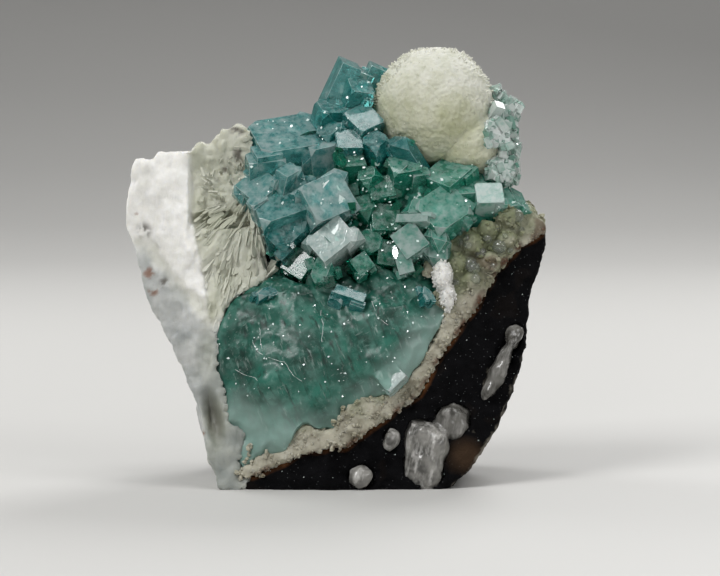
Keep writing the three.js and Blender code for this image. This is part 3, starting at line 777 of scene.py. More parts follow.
root = root_mass("apophyllite_root", ROOTS, 3)
deep_root = bottle_green("apophyllite_deep_root", "#155848", "#43937f", "#c5e2d9")
finish(root, "apophyllite_crystals", deep_root, 30)
crest_root = root_mass("apophyllite_crest_root", [((35.8, 0.5, 75.5), (5.6, 6.5, 10.5))], 4)
pale_root = bottle_green("apophyllite_pale_root", "#6c9a8b", "#a4c4b8", "#e4efec")
finish(crest_root, "apophyllite_crest", pale_root, 30)

# %% [markdown]
# ## The massive apophyllite
# Below the crystals the same mineral fills the cavity as one mass with no faces of its own. It
# broke in soft, shell shaped steps, and healed cracks cross it as white lines. Its lower and right
# margins are milky.

# %% Lower mass
lower = copy_of("apophyllite_lower", "apophyllite_lower_mass")
skin(lower, 0.5, 1)


def lower_relief(place, normal):
    """Soft shell shaped steps, and a ragged upper edge where small crystals begin."""
    steps = 0.8 * grain(place, 9, 2, 2) + 0.2 * grain(place, 2.5, 7) - 0.8 * abs(grain(place, 7, 8, 2))
    ragged = ease(41, 44.5, place.z + 2 * grain(place, 5, 10)) * (1.6 * creases(place, 3.4, 12) - 0.7)
    planes = 0.9 * creases(place, 8, 14) * ease(0, 0.4, grain(place, 14, 15))
    return 0.1 + steps + ragged + planes


press(lower, lower_relief)

# %% Crystals seated on the mass
SILVER_LOW_ROWS = [((12.2, -22.4, 25.4), (-0.16, -0.92, 0.36), (2.7, 2.4), 9, 38, 0.1, 0.7)]
LOWER_ROWS = [
    ((3.2, -19.6, 44), (0.15, -0.7, 0.7), (3.6, 1.3), 8, -14, 0.3, 0.5),
    ((-15.5, -17.8, 44.2), (0.25, -0.75, 0.6), (2.2, 1.1), 7, 34, 0.5, 0.5),
    ((20.5, -16.8, 43.8), (0.4, -0.7, 0.6), (1.2, 1.8), 6, 35, 0.5, 0.5),
]
seated = large_crystals("apophyllite_seated", LOWER_ROWS, 6, 6)
finish(seated, "apophyllite_lower", blue_glass, 0)
seated_silver = large_crystals("apophyllite_seated_silver", SILVER_LOW_ROWS, 8, 3)
finish(seated_silver, "apophyllite_lower", silver_glass, 0)
seated_cracks = cracks_inside("apophyllite_seated_cracks", LOWER_ROWS + SILVER_LOW_ROWS, 19, 6)
finish(seated_cracks, "apophyllite_lower", crack_glass, 0)


# %% Where the mass is milky, and its cloudy finish
def milkiness(place, normal):
    """1 along the lower and right margins of the mass and 0 in its middle."""
    left_low = ease(20, 9, place.z + 0.25 * place.x)
    right_low = ease(-9, 1, (place.x - 24) * 0.75 - (place.z - 33) * 0.7 + 2)
    left = ease(-24, -31, place.x)
    return min(1.0, max(left_low, right_low, left) + 0.25 * grain(place, 5, 9))


paint(lower, "milk", milkiness)
paint(lower, "shade", lambda p, n: 0.45 + 0.35 * grain(p, 7, 11))


def drawn_out(tree, place, turn, wide, times):
    """Noise with streaks this wide, in millimetres, and this many times as long, turned on the show side."""
    spin = (0, math.radians(turn), 0)
    turned = add(tree, "ShaderNodeMapping", {"Vector": place, "Rotation": spin}).outputs["Vector"]
    drawn = add(tree, "ShaderNodeMapping", {"Vector": turned, "Scale": (1 / times, 1, 1)}).outputs["Vector"]
    return noisy(tree, drawn, wide, 4, 0.65)


def massive_finish():
    """A broken mass: half clear and half cloudy, with dark feathers, milky margins and fine scratches."""
    material, tree, shader, place = new_material("apophyllite_massive_cloudy")
    veil = noisy(tree, place, 2.2, 5, 0.65)
    body = between(tree, noisy(tree, place, 6, 4), "#0c4a3c", "#2c8772", 0.35, 0.65)
    body = between(tree, veil, body, "#67a897", 0.5, 0.8)
    body = between(tree, drawn_out(tree, place, -66, 1.5, 5), body, "#0c3a2f", 0.53, 0.68)
    body = between(tree, kept(tree, "milk"), body, "#b4d8cd", 0.0, 1.3)
    body = between(tree, drawn_out(tree, place, -70, 0.9, 6), body, "#bcd6cd", 0.6, 0.75)
    body = between(tree, drawn_out(tree, place, 27, 0.5, 12), body, "#a9c8bf", 0.63, 0.78)
    tree.links.new(body, shader.inputs["Base Color"])
    dull = add(tree, "ShaderNodeMapRange", {"Value": veil, "To Min": 0.2, "To Max": 0.6}).outputs["Result"]
    tree.links.new(dull, shader.inputs["Roughness"])
    shader.inputs["IOR"].default_value = APOPHYLLITE_IOR
    shader.inputs["Transmission Weight"].default_value = 0.45
    bumped(tree, shader, noisy(tree, place, 1.4, 4), 0.06)
    inside = add(tree, "ShaderNodeVolumeAbsorption", {"Color": (0.15, 0.74, 0.66, 1), "Density": 160})
    tree.links.new(inside.outputs["Volume"], tree.nodes["Material Output"].inputs["Volume"])
    return material


finish(lower, "apophyllite_lower", massive_finish(), 35)

# %% [markdown]
# ## Healed cracks and sparkles
# A few long cracks run through the mass and show as white lines where they reach its face. Each is
# a thin sheet that follows the crack and goes a few millimetres in. Tiny broken steps on the face
# lean towards the key lamp and are painted nearly white, so they show as bright points: partly a
# reflection and partly a painted glint.

# %% Cracks through the mass
CRACK_LINES = [
    [(-18.8, 33.3), (-17.2, 30.6), (-14.5, 29.3), (-11.5, 28.8), (-9.3, 25.7), (-7, 24.3)],
    [(-17.2, 36.2), (-16.8, 33), (-16.6, 30.8)],
    [(-3.4, 40), (-2.8, 36), (-3.2, 32)],
    [(-22.6, 26.6), (-20, 25.4), (-16.4, 24.6)],
    [(8, 42), (9.4, 38.6), (12.2, 36.4)],
]


def on_face(piece, x, z):
    """Where a line from the front meets a piece, or nothing."""
    start = at(x, -60, z)
    hit, place, _, _ = piece.ray_cast(start, Vector((0, 1, 0)))
    return place if hit else None


def crack_sheets(name, piece, lines, seed):
    """A thin sheet along each line, from just outside the face to a few millimetres in."""
    chance = np.random.default_rng(seed)
    points, faces = [], []
    for line in lines:
        stretches = [(Vector(a), Vector(b)) for a, b in zip(line, line[1:])]
        steps = [a.lerp(b, share) for a, b in stretches for share in (0, 0.25, 0.5, 0.75)]
        found = [on_face(piece, *(spot + Vector(chance.normal(0, 0.12, 2)))) for spot in steps]
        found = [place for place in found if place]
        slant = Vector((chance.normal(0, 0.4), 1, chance.normal(0, 0.4))).normalized()
        start = len(points)
        for place in found:
            points.append(place - slant * 0.04 * MM)
            points.append(place + slant * chance.uniform(1.5, 3.5) * MM)
        for first in range(start, start + 2 * (len(found) - 1), 2):
            faces.append([first, first + 1, first + 3, first + 2])
    mesh = bpy.data.meshes.new(name)
    mesh.from_pydata(points, [], faces)
    mesh.update()
    made = bpy.data.objects.new(name, mesh)
    bpy.context.scene.collection.objects.link(made)
    wall = made.modifiers.new("wall", "SOLIDIFY")
    wall.thickness = 0.08 * MM
    wall.offset = 0
    apply_all(made)
    paint(made, "shade", lambda p, n: 1.0)
    return made


bpy.context.view_layer.update()
healed = crack_sheets("apophyllite_crack_lines", lower, CRACK_LINES, 21)
finish(healed, "apophyllite_lower", crack_glass, 0)

# %% Sparkles
TOWARDS_LAMP = Vector((-0.255, -0.86, 0.443))  # a face with this normal throws the key lamp forwards
SHOW_SIDE = -0.35  # a normal with less Y than this looks forwards


def sparkle(name, surface, count, seed, sizes, wanted):
    """Tiny steps on a surface that face halfway between the lamp and the show side."""
    chance = np.random.default_rng(seed)
    shapes = [plate_shape(5, 30), plate_shape(4, 31), plate_shape(3, 32)]
    places = []
    for spot, normal in scatter(surface, count, seed, wanted):
        lean = (TOWARDS_LAMP + Vector(chance.normal(0, 0.16, 3))).normalized()
        size = chance.uniform(*sizes)
        places.append(standing(spot + normal * 0.4 * size * MM, lean, chance.uniform(0, 360), size))
    piece = copies(name, shapes, places, [1.0] * len(places))
    drop_shapes()
    return piece


def sparkle_finish():
    """A fresh cleavage step: a small mirror, painted nearly white as a painted glint."""
    material, tree, shader, place = new_material("cleavage_step_painted_glint")
    # Painted glint: the near white colour makes the steps show as bright points
    body = ramp(tree, noisy(tree, place, 3, 3), [(0.3, "#c9e2db"), (0.7, "#f4faf8")])
    tree.links.new(body, shader.inputs["Base Color"])
    shader.inputs["Roughness"].default_value = 0.12
    shader.inputs["IOR"].default_value = 1.9
    return material


steps = sparkle_finish()


def faces_show(place, normal):
    return normal.y < SHOW_SIDE


mass_steps = sparkle(
    "apophyllite_lower_steps", lower, 130, 22, (0.12, 0.4), lambda p, n: n.y < SHOW_SIDE and p.z > 20
)
finish(mass_steps, "apophyllite_lower", steps, 0)
for piece, count, seed in ((tall, 22, 23), (blocky, 34, 24), (middle, 60, 25), (right, 50, 26)):
    made = sparkle(piece.name + "_steps", piece, count, seed, (0.15, 0.55), faces_show)
    finish(made, "apophyllite_crystals", steps, 0)

# %% [markdown]
# ## The rock
# Basalt is a fine-grained, nearly black lava. A broken face is matt and hackly, with tiny crystals
# that glint. The outside of this piece weathered to a thin pale rind, and iron left a rusty line
# where the crust meets the rock.

# %% Basalt body
LINING_EDGE = [
    (-19, 3), (-12, 6), (-8, 8), (-3, 9), (2, 9.5), (7.5, 13.5), (12, 16.5), (18.5, 21), (21, 25.5),
    (23.5, 30), (28.5, 36.5), (32, 41), (36, 48), (41.5, 53.5), (45, 55.5), (47.5, 57),
]


def away_from(line, x, z):
    """How far a place on the show side lies from a line of places, in millimetres."""
    best = 1e9
    spot = Vector((x, z))
    for start, end in zip(line, line[1:]):
        a, b = Vector(start), Vector(end)
        share = max(0.0, min(1.0, (spot - a).dot(b - a) / (b - a).length_squared))
        best = min(best, (spot - a.lerp(b, share)).length)
    return best


def hackly(place, normal):
    """A broken face: sharp edged hollows, and grain on them."""
    hollows = 0.8 * abs(grain(place, 7, 1))
    return 0.2 - hollows + 0.4 * grain(place, 2.5, 2) + 0.2 * grain(place, 1.3, 3)


basalt = copy_of("basalt_matrix", "basalt_rock")
skin(basalt, 0.65)
press(basalt, hackly)


# %% Rust, rind and the rock's finish
def rust_near_lining(place, normal):
    """The rusty line where the crust meets the rock."""
    if place.y > -2:
        return 0.0
    return max(0.0, 1 - away_from(LINING_EDGE, place.x, place.z) / 1.6) * (0.6 + 0.6 * grain(place, 4, 21))


def rind(place, normal):
    """The weathered outside: the right flank low down, and patches on the back."""
    low = ease(34, 14, place.z + 9 * grain(place, 11, 22)) * ease(-0.25, 0.35, grain(place, 5, 28) + 0.15)
    flank = ease(0.45, 0.8, normal.x) * low * ease(15, 25, place.x)
    back = ease(0.3, 0.8, normal.y) * (0.28 + 0.3 * grain(place, 14, 23) + 0.2 * grain(place, 2.5, 29, 4))
    return max(flank, back)


BROWN_AT = Vector((29, -18, 7))


def browned(place, normal):
    """A brown patch beside the large filling, and faint ones elsewhere."""
    return 0.9 * ease(6, 2, (place - BROWN_AT).length) + 0.15 * ease(0.2, 0.5, grain(place, 9, 24))


paint(basalt, "rust", rust_near_lining)
paint(basalt, "rind", rind)
paint(basalt, "brown", browned)


def basalt_finish():
    """Broken basalt: matt and nearly black. Its fine grains are drawn coarser, so that they show."""
    material, tree, shader, place = new_material("basalt_broken")
    body = between(tree, noisy(tree, place, 3, 5), "#020203", "#0b0b0d", 0.35, 0.7)
    specks = add(tree, "ShaderNodeTexVoronoi", {"Vector": place, "Scale": 1 / 0.8}).outputs["Distance"]
    body = between(tree, specks, "#6d6f70", body, 0.06, 0.12)
    body = between(tree, kept(tree, "brown"), body, "#3b2d21", 0.1, 1)
    body = between(tree, kept(tree, "rind"), body, "#857f73", 0.1, 1.3)
    body = between(tree, kept(tree, "rust"), body, "#6a4325", 0.1, 0.9)
    tree.links.new(body, shader.inputs["Base Color"])
    shader.inputs["Roughness"].default_value = 0.65
    shader.inputs["Specular IOR Level"].default_value = 0.06
    under = bumped(tree, shader, noisy(tree, place, 0.8, 5, 0.7), 0.4)
    bumped(tree, shader, noisy(tree, place, 0.25, 2), 0.08, under)
    return material


finish(basalt, "basalt_matrix", basalt_finish(), 40)
# The tiny crystals that glint in the rock share the finish of the steps: small mirrors, painted nearly white
# as a painted glint
rock_glints = sparkle("basalt_glints", basalt, 420, 27, (0.06, 0.16), lambda p, n: p.z > 1)
finish(rock_glints, "basalt_matrix", steps, 0)

# %% [markdown]
# ## Stilbite
# Stilbite grows as sheaves of thin blades with a silky lustre. Here they are packed side by side in
# one white mass that broke across the blades, so its face shows soft ribs that follow them, with
# finer fibres between.

# %% The way the blades run
FAN_CENTRE = Vector((-19, 66))
COLUMN_CENTRE = Vector((-26, 150))


def in_fan(place):
    """1 in the beige fan of blades on the right of the mass."""
    right_of_ridge = ease(-33.5, -31, place.x - 0.18 * max(0, 60 - place.z))
    return right_of_ridge * ease(64, 59, place.z) * ease(30, 36, place.z)


def fibre(place):
    """Millimetres across the fibres, into the stone and along the fibres."""
    fan = in_fan(place) > 0.5
    away = Vector((place.x, place.z)) - (FAN_CENTRE if fan else COLUMN_CENTRE)
    return Vector((math.atan2(away.x, -away.y) * (16 if fan else 90), place.y, away.length))


def ribs(place, wide, seed):
    """Noise drawn out along the blades, with ribs this wide."""
    across, deep, along = fibre(place)
    return noise.fractal(Vector((across / wide, deep / wide, along / (6 * wide) + seed)), 1, 2, 3)


def hollow(place, centre, radii, tilt=0):
    """1 in the middle of an oval on the show side and 0 outside it."""
    away = Matrix.Rotation(math.radians(tilt), 2) @ (Vector((place.x, place.z)) - Vector(centre))
    return ease(1, 0.2, math.hypot(away.x / radii[0], away.y / radii[1]))


# %% The white mass and its relief
SHADED_HOLLOW = (-27.6, 16)
SHADOW_BAND = (-25.5, 59.6)
CREVICE = [(-44, 54), (-39.5, 49.5), (-36.5, 45), (-31, 41), (-28.5, 38.5), (-29.5, 31), (-31, 25)]


def stilbite_relief(place, normal):
    """Soft ribs and lumps, with a step, a shadowed band, a hollow and a crevice. The back is plainer."""
    if normal.y > 0.6:
        return 0.5 * grain(place, 6, 31) + 0.2 * grain(place, 1.5, 32)
    fan = in_fan(place)
    lower_step = 1.7 * ease(-33.6, -32.2, place.x) * ease(57, 60, place.z) * ease(76, 70, place.z)
    band = 2.2 * hollow(place, SHADOW_BAND, (8.5, 2.6))
    grey = 3 * hollow(place, SHADED_HOLLOW, (2.6, 8.5), -14)
    crevice = 0.8 * ease(2.4, 0.1, away_from(CREVICE, place.x, place.z) + 0.9 * grain(place, 3, 44))
    grainy = ease(-31.5, -29, place.x) * ease(61, 64, place.z)
    height = 0.25 + 0.7 * grain(place, 7, 31) + 0.25 * grain(place, 2.6, 45)
    height += (0.25 + 0.35 * fan) * ribs(place, 1.3, 3)
    height += 0.1 * grain(place, 1.3, 33)
    return height + grainy * (0.9 * creases(place, 2.2, 37) - 0.4) - lower_step - band - grey - crevice


stilbite = copy_of("stilbite_mass", "stilbite_white_mass")
skin(stilbite, 0.45, 2)
press(stilbite, stilbite_relief)


# %% Stains, and painted shade on the greyer zones
def tone_and_shade(place, normal):
    """The greyer, olive zone on the right of the mass: partly its own tone, seen through thicker blades, and
    partly painted shade on its side turned from the lamp. Painted shade also darkens the shadowed band, the
    shaded hollow, the low strip and the crevice.
    """
    edge = -33.2 + 0.2 * max(0, 60 - place.z) + 0.8 * grain(place, 8, 34)
    zone = 0.8 * ease(edge, edge + 1.2, place.x) * ease(34, 40, place.z)
    # Painted shade: the shadowed band, the shaded hollow, the low strip and the crevice are turned greyer
    # here
    shadow = 0.5 * hollow(place, SHADOW_BAND, (9, 3.4))
    low = 0.6 * ease(38, 30, place.z) * ease(-31, -27.5, place.x)
    low += 0.9 * hollow(place, SHADED_HOLLOW, (3.2, 9), -14)
    crevice = 0.4 * ease(2.6, 0.3, away_from(CREVICE, place.x, place.z) + 0.9 * grain(place, 3, 44))
    return min(1.0, max(0.0, zone + shadow + low + crevice + 0.16 * grain(place, 5, 35)))


STAINS = [((-45, 61), 1.3), ((-42.4, 47.5), 2.2), ((-41.3, 43.6), 2), ((-29.6, 12.2), 1)]
DARK_PATCHES = [
    ((-22.6, 79.6), 2.6), ((-21.8, 74.3), 2.6), ((-25, 70.8), 1.3),
    ((-38.8, 45.6), 1.7), ((-43.5, 57), 2.6), ((-16.6, 50.5), 3.6), ((-16.8, 56), 2.4),
]


def rusty(place, normal):
    """Small rust stains with ragged edges."""
    spot = Vector((place.x, place.z))
    best = max(ease(size, size * 0.2, (spot - Vector(centre)).length) for centre, size in STAINS)
    return 0.8 * best * ease(-0.25, 0.35, grain(place, 1.6, 36))


def dark_patches_and_shade(place, normal):
    """Grey-brown patches, and painted shade in the shaded hollow."""
    spot = Vector((place.x, place.z))
    best = max(ease(size, size * 0.2, (spot - Vector(centre)).length) for centre, size in DARK_PATCHES)
    # Painted shade in the hollow
    grey = 0.6 * hollow(place, SHADED_HOLLOW, (2.9, 8.5), -14)
    return max(grey, best * ease(-0.3, 0.3, grain(place, 1.8, 38)))


def bluish_shade_strip(place, normal):
    """Painted shade: the bluish grey strip on the left of the crevice, and the low strip under it, where
    shadow falls.
    """
    left = ease(0, 3, (-28 - place.x) * 0.75 + (38 - place.z) * 0.66 + 1.5 * grain(place, 6, 39))
    return left * ease(56, 50, place.z) * (0.7 + 0.3 * grain(place, 7, 40))


def keep_fibres(piece):
    """Keeps the fibres' own millimetres for the shader."""
    layer = piece.data.attributes.new("fibre", "FLOAT_VECTOR", "POINT")
    layer.data.foreach_set("vector", np.array([fibre(own(v.co)) for v in piece.data.vertices]).ravel())


paint(stilbite, "tone_and_shade", tone_and_shade)
paint(stilbite, "rust", rusty)
paint(stilbite, "patches_and_shade", dark_patches_and_shade)
paint(stilbite, "bluish_shade", bluish_shade_strip)
keep_fibres(stilbite)


# %% Silky stilbite
def stilbite_finish(name, light, dark, tint, rust="#7d4a26", rough=0.5, fibrous=False, soft=0.5):
    """Silky, and light goes a millimetre in. tint is what the greyer zones turn to, partly their own tone and
    partly painted shade, soft how deep it looks.
    """
    material, tree, shader, place = new_material(name)
    body = between(tree, noisy(tree, place, 3, 5), dark, light, 0.3, 0.6)
    # Painted shade: the greyer zones are partly their own tone and partly painted shade
    body = between(tree, kept(tree, "tone_and_shade"), body, tint, 0.0, 1.1)
    # Painted shade: the bluish grey colour paints the shadowed strip
    body = between(tree, kept(tree, "bluish_shade"), body, "#687172", 0, 1.2)
    # The grey-brown colour paints the patches, and painted shade in the hollow
    body = between(tree, kept(tree, "patches_and_shade"), body, "#5a554c", 0, 1.1)
    body = between(tree, kept(tree, "rust"), body, rust, 0.1, 1)
    tree.links.new(body, shader.inputs["Base Color"])
    shader.inputs["Roughness"].default_value = rough
    shader.inputs["IOR"].default_value = 1.5
    shader.inputs["Subsurface Weight"].default_value = soft
    shader.inputs["Subsurface Radius"].default_value = (1, 0.95, 0.8)
    shader.inputs["Subsurface Scale"].default_value = 1.2 * MM
    under = bumped(tree, shader, noisy(tree, place, 0.5, 4, 0.6), 0.10)
    if fibrous:
        # Real fibres are under 0.1 mm wide. These are drawn about 0.4 mm wide, so that they show
        fibres = add(tree, "ShaderNodeAttribute", attribute_name="fibre").outputs["Vector"]
        drawn = add(tree, "ShaderNodeMapping", {"Vector": fibres, "Scale": (2.6, 1.6, 0.2)})
        thin = drawn.outputs["Vector"]
        bumped(tree, shader, noisy(tree, thin, 1, 4, 0.6), 0.14, under)
    return material


SILKY_WHITE = ("#edece8", "#dddcd7", "#b2b49e")
white_stilbite = stilbite_finish("stilbite_silky_white", *SILKY_WHITE, fibrous=True)
finish(stilbite, "stilbite_mass", white_stilbite, 40)

# %% [markdown]
# ## The ball of stilbite
# On the crystals sits a ball in which thousands of blades radiate from one point. Their ends cover
# it like a close brush, and along its outline they show as fine teeth. The core is a copy of the
# solid with a fine grain. One blade is modelled from a cube with its end cut to a wedge, and copied
# all over it, longer along the rim.

# %% Blades of the ball
def blade_shape(width, thick, length):
    """A blade that ends at the origin with a blunt wedge."""
    bpy.ops.object.select_all(action="DESELECT")
    bpy.ops.mesh.primitive_cube_add(size=1, location=(0, 0, -length / 2 * MM))
    shape = bpy.context.object
    shape.scale = (width * MM, thick * MM, length * MM)
    settle(shape)
    bpy.ops.object.mode_set(mode="EDIT")
    for side in (-1, 1):
        bpy.ops.mesh.select_all(action="SELECT")
        cut_at = (side * width * 0.12 * MM, 0, 0)
        cut_faces = (side * 0.8, 0, 0.6)
        bpy.ops.mesh.bisect(plane_co=cut_at, plane_no=cut_faces, use_fill=True, clear_outer=True)
    bpy.ops.mesh.select_all(action="SELECT")
    bpy.ops.mesh.normals_make_consistent(inside=False)
    bpy.ops.object.mode_set(mode="OBJECT")
    made_shapes.append(shape)
    return shape


# %% The ball's core, its blades and its teeth
BALL_CENTRE = at(22.2, 3, 84.3)
ball = copy_of("stilbite_ball", "stilbite_ball_core")
skin(ball, 0.26, 4)
press(ball, lambda p, n: 0.15 + 0.12 * grain(p, 2.2, 41) + 0.2 * grain(p, 0.75, 42, 4))


def ball_tone_and_shade(place, normal):
    """Whitest at the top and greenish towards the foot, a painted shade under the lamp above, with a yellow
    green patch at the middle right.
    """
    # Painted shade: greener and darker towards the lower left, turned away from the lamp
    low = 0.62 * ease(98, 74, place.z + 0.55 * (place.x - 22))
    patch = 0.4 * ease(8, 1, (Vector((place.x, place.z)) - Vector((28, 83))).length)
    return min(1.0, max(0.0, low + patch + 0.2 * grain(place, 3, 43)))


def brush(name, node, count, seed, size, lean, wanted, from_point, proud=(-0.15, 0.25)):
    """Blades on a solid, which point away from a place and stand this many millimetres proud."""
    shapes = [blade_shape(0.9, 0.36, 3), blade_shape(0.7, 0.3, 3), blade_shape(1.1, 0.42, 3)]
    chance = np.random.default_rng(seed)
    places, shades = [], []
    for spot, normal in scatter(node, count, seed, wanted):
        out = (spot - from_point).normalized() * 0.75 + normal * 0.25
        out = (out + Vector(chance.normal(0, lean, 3))).normalized()
        tip = spot + normal * chance.uniform(*proud) * MM
        places.append(standing(tip, out, chance.uniform(0, 180), size * chance.uniform(0.7, 1.2)))
        shades.append(chance.random())
    piece = copies(name, shapes, places, shades)
    drop_shapes()
    return piece


ball_blades = brush(
    "stilbite_ball_blades", "stilbite_ball", 3200, 8, 0.42, 0.1,
    lambda p, n: p.z > 66, BALL_CENTRE, (0, 0.32),
)


def on_rim(place, normal):
    """The crest of the ball, where the longest blades make a toothed edge."""
    return abs(normal.y) < 0.4 and normal.z > -0.3


ball_teeth = brush(
    "stilbite_ball_teeth", "stilbite_ball", 620, 28, 0.6, 0.1,
    on_rim, BALL_CENTRE, (0.3, 0.95),
)
for piece in (ball, ball_blades, ball_teeth):
    paint(piece, "tone_and_shade", ball_tone_and_shade)
    paint(piece, "rust", lambda p, n: 0.0)

ball_finish = stilbite_finish("stilbite_ball_cream", "#d6d6cb", "#c6c7b8", "#a6a97e", rough=0.8)
finish(ball, "stilbite_ball", ball_finish, 40)
ball_fringe = stilbite_finish("stilbite_ball_fringe", "#e2e2d8", "#d2d3c5", "#a6a97e", rough=0.8, soft=0.0)
finish(ball_blades, "stilbite_ball", ball_fringe, 0)
finish(ball_teeth, "stilbite_ball", ball_fringe, 0)

# %% [markdown]
# ## Blades on the white mass
# The fan on the right of the mass is open, and its blades stand free like the pages of a book. The
# same blade is laid along the fan's ribs. Above it, on the drusy shelf and along the top edge,
# short blades stand on end.

# %% Blades of the fan and of the shelf
def fan_blades(name, count, seed):
    """Blades that lie along the fan, a little lifted from it."""
    shapes = [blade_shape(0.9, 0.3, 5), blade_shape(0.6, 0.22, 4), blade_shape(1.3, 0.4, 5)]
    chance = np.random.default_rng(seed)
    places, shades = [], []
    for spot, normal in scatter("stilbite_mass", count, seed, lambda p, n: in_fan(p) > 0.3 and n.y < 0.3):
        place = own(spot)
        away = (Vector((place.x, place.z)) - FAN_CENTRE).normalized()
        run = Vector((away.x, 0, away.y)) + Vector(chance.normal(0, 0.12, 3))
        run = (run - normal * run.dot(normal) + normal * chance.uniform(0.05, 0.3)).normalized()
        proud = chance.uniform(0.1, 0.5)
        turn = chance.uniform(0, 180)
        places.append(standing(spot + normal * proud * MM, run, turn, chance.uniform(0.6, 1)))
        shades.append(chance.random())
    piece = copies(name, shapes, places, shades)
    drop_shapes()
    return piece


def on_shelf(place, normal):
    """The drusy shelf right of the ridge, and the top edge."""
    top = place.z > 70 and normal.z > 0.3 and place.x > -34
    return top or (place.x > -31 and place.z > 61 and normal.y < 0.3)


loose_stilbite = stilbite_finish("stilbite_loose_blades", *SILKY_WHITE, fibrous=True, soft=0.0)
fan = fan_blades("stilbite_fan_blades", 900, 17)
shelf = brush(
    "stilbite_shelf_blades", "stilbite_mass", 700, 18, 0.7, 0.45,
    on_shelf, at(-25, 2, 62), (-0.3, 0.3),
)
for piece in (fan, shelf):
    paint(piece, "tone_and_shade", tone_and_shade)
    paint(piece, "rust", rusty)
    paint(piece, "patches_and_shade", dark_patches_and_shade)
    keep_fibres(piece)
    finish(piece, "stilbite_mass", loose_stilbite, 0)

# %% [markdown]
# ## The pale crust
# Between rock and crystals lies a sugary crust of chalcedony and small zeolites, cream to rusty
# brown. On its wide upper end clear round beads stand out.

# %% Crust
crust = copy_of("zeolite_lining", "zeolite_crust")
skin(crust, 0.45, 1)
press(crust, lambda p, n: 0.25 + 0.45 * grain(p, 3, 51) + 0.3 * creases(p, 1.6, 52))


def crust_rust(place, normal):
    """Rusty brown next to the rock, and in patches on the wide end."""
    low = max(0.0, 1 - away_from(LINING_EDGE, place.x, place.z) / 1.3)
    patch = ease(0.25, 0.6, grain(place, 6, 53)) * ease(26, 34, place.x)
    return min(1.0, low * ease(-0.1, 0.5, grain(place, 3, 54)) + 0.6 * patch)


paint(crust, "rust", crust_rust)


def crust_olive(place, normal):
    """Olive where the crust lies thin over green crystals, and whiter towards the rock."""
    wide = ease(21, 25, place.x) * ease(40, 45, place.z)
    near_rock = ease(6, 1.5, away_from(LINING_EDGE, place.x, place.z))
    return min(1.0, max(0.0, 0.35 + 0.65 * wide - 0.6 * near_rock + 0.5 * grain(place, 4, 55)))


paint(crust, "tone_and_shade", crust_olive)
crust_finish = stilbite_finish("crust_sugary", "#b4b09f", "#7b7664", "#757c5c", "#543620")
finish(crust, "zeolite_lining", crust_finish, 40)


# %% Sugar of tiny crystals
def sugar(name, node, count, seed, size, wanted):
    """Tiny pointed crystals all over a crust."""
    shapes = [crystal_shape((1, 1), 3, 0.8, 0), crystal_shape((1, 0.8), 3, 0.6, 0)]
    chance = np.random.default_rng(seed)
    places, shades = [], []
    for spot, normal in scatter(node, count, seed, wanted):
        lean = (normal + Vector(chance.normal(0, 0.5, 3))).normalized()
        big = size * chance.uniform(0.6, 1.5)
        places.append(standing(spot + normal * (0.35 + 0.7 * big) * MM, lean, chance.uniform(0, 90), big))
        shades.append(chance.random())
    piece = copies(name, shapes, places, shades)
    drop_shapes()
    return piece


grains = sugar("zeolite_sugar", "zeolite_lining", 3200, 14, 0.3, lambda p, n: n.y < 0.2)
paint(grains, "rust", crust_rust)
paint(grains, "tone_and_shade", crust_olive)
finish(grains, "zeolite_lining", crust_finish, 0)

# %% [markdown]
# ## Beads
# On the wide end of the crust stand clear greenish beads of hyalite, like drops of water. One bead
# starts as an icosphere and is pressed a little out of round, then copied in many sizes.

# %% Clear beads
bpy.ops.object.select_all(action="DESELECT")
bpy.ops.mesh.primitive_ico_sphere_add(subdivisions=3, radius=1 * MM, location=(0, 0, 0))
bead_shape = bpy.context.object
for vertex in bead_shape.data.vertices:
    vertex.co *= 1 + 0.08 * grain(vertex.co / MM, 1.3, 71)
made_shapes.append(bead_shape)
chance = np.random.default_rng(15)
bead_places = []
for spot, normal in scatter("zeolite_lining", 60, 16, lambda p, n: n.y < -0.2 and p.x > 24.5 and p.z > 44):
    squash = (1, 1, chance.uniform(0.7, 1))
    size = chance.choice([0.7, 1.1, 1.7], p=[0.45, 0.35, 0.2]) * chance.uniform(0.8, 1.15)
    bead_size = tuple(size * share for share in squash)
    bead_places.append(standing(spot + normal * 0.7 * size * MM, normal, 0, bead_size))
beads = copies("zeolite_beads", [bead_shape], bead_places)
drop_shapes()


# %% The beads' finish
def bead_finish():
    """Hyalite is a glassy opal: clear, smooth and faintly green where it is thick."""
    material, tree, shader, place = new_material("hyalite_bead")
    body = between(tree, noisy(tree, place, 2, 3), "#dfe6d8", "#f2f4ee", 0.3, 0.7)
    tree.links.new(body, shader.inputs["Base Color"])
    shader.inputs["Roughness"].default_value = 0.06
    shader.inputs["IOR"].default_value = 1.46
    shader.inputs["Transmission Weight"].default_value = 0.9
    bumped(tree, shader, noisy(tree, place, 0.8, 2), 0.02)
    inside = add(tree, "ShaderNodeVolumeAbsorption", {"Color": (0.5, 0.78, 0.6, 1), "Density": 60})
    tree.links.new(inside.outputs["Volume"], tree.nodes["Material Output"].inputs["Volume"])
    return material


finish(beads, "zeolite_lining", bead_finish())

# %% [markdown]
# ## Fillings of the gas bubbles
# Chalcedony is a very fine quartz that fills bubbles and cracks. It is grey-white, waxy and a
# little see-through.

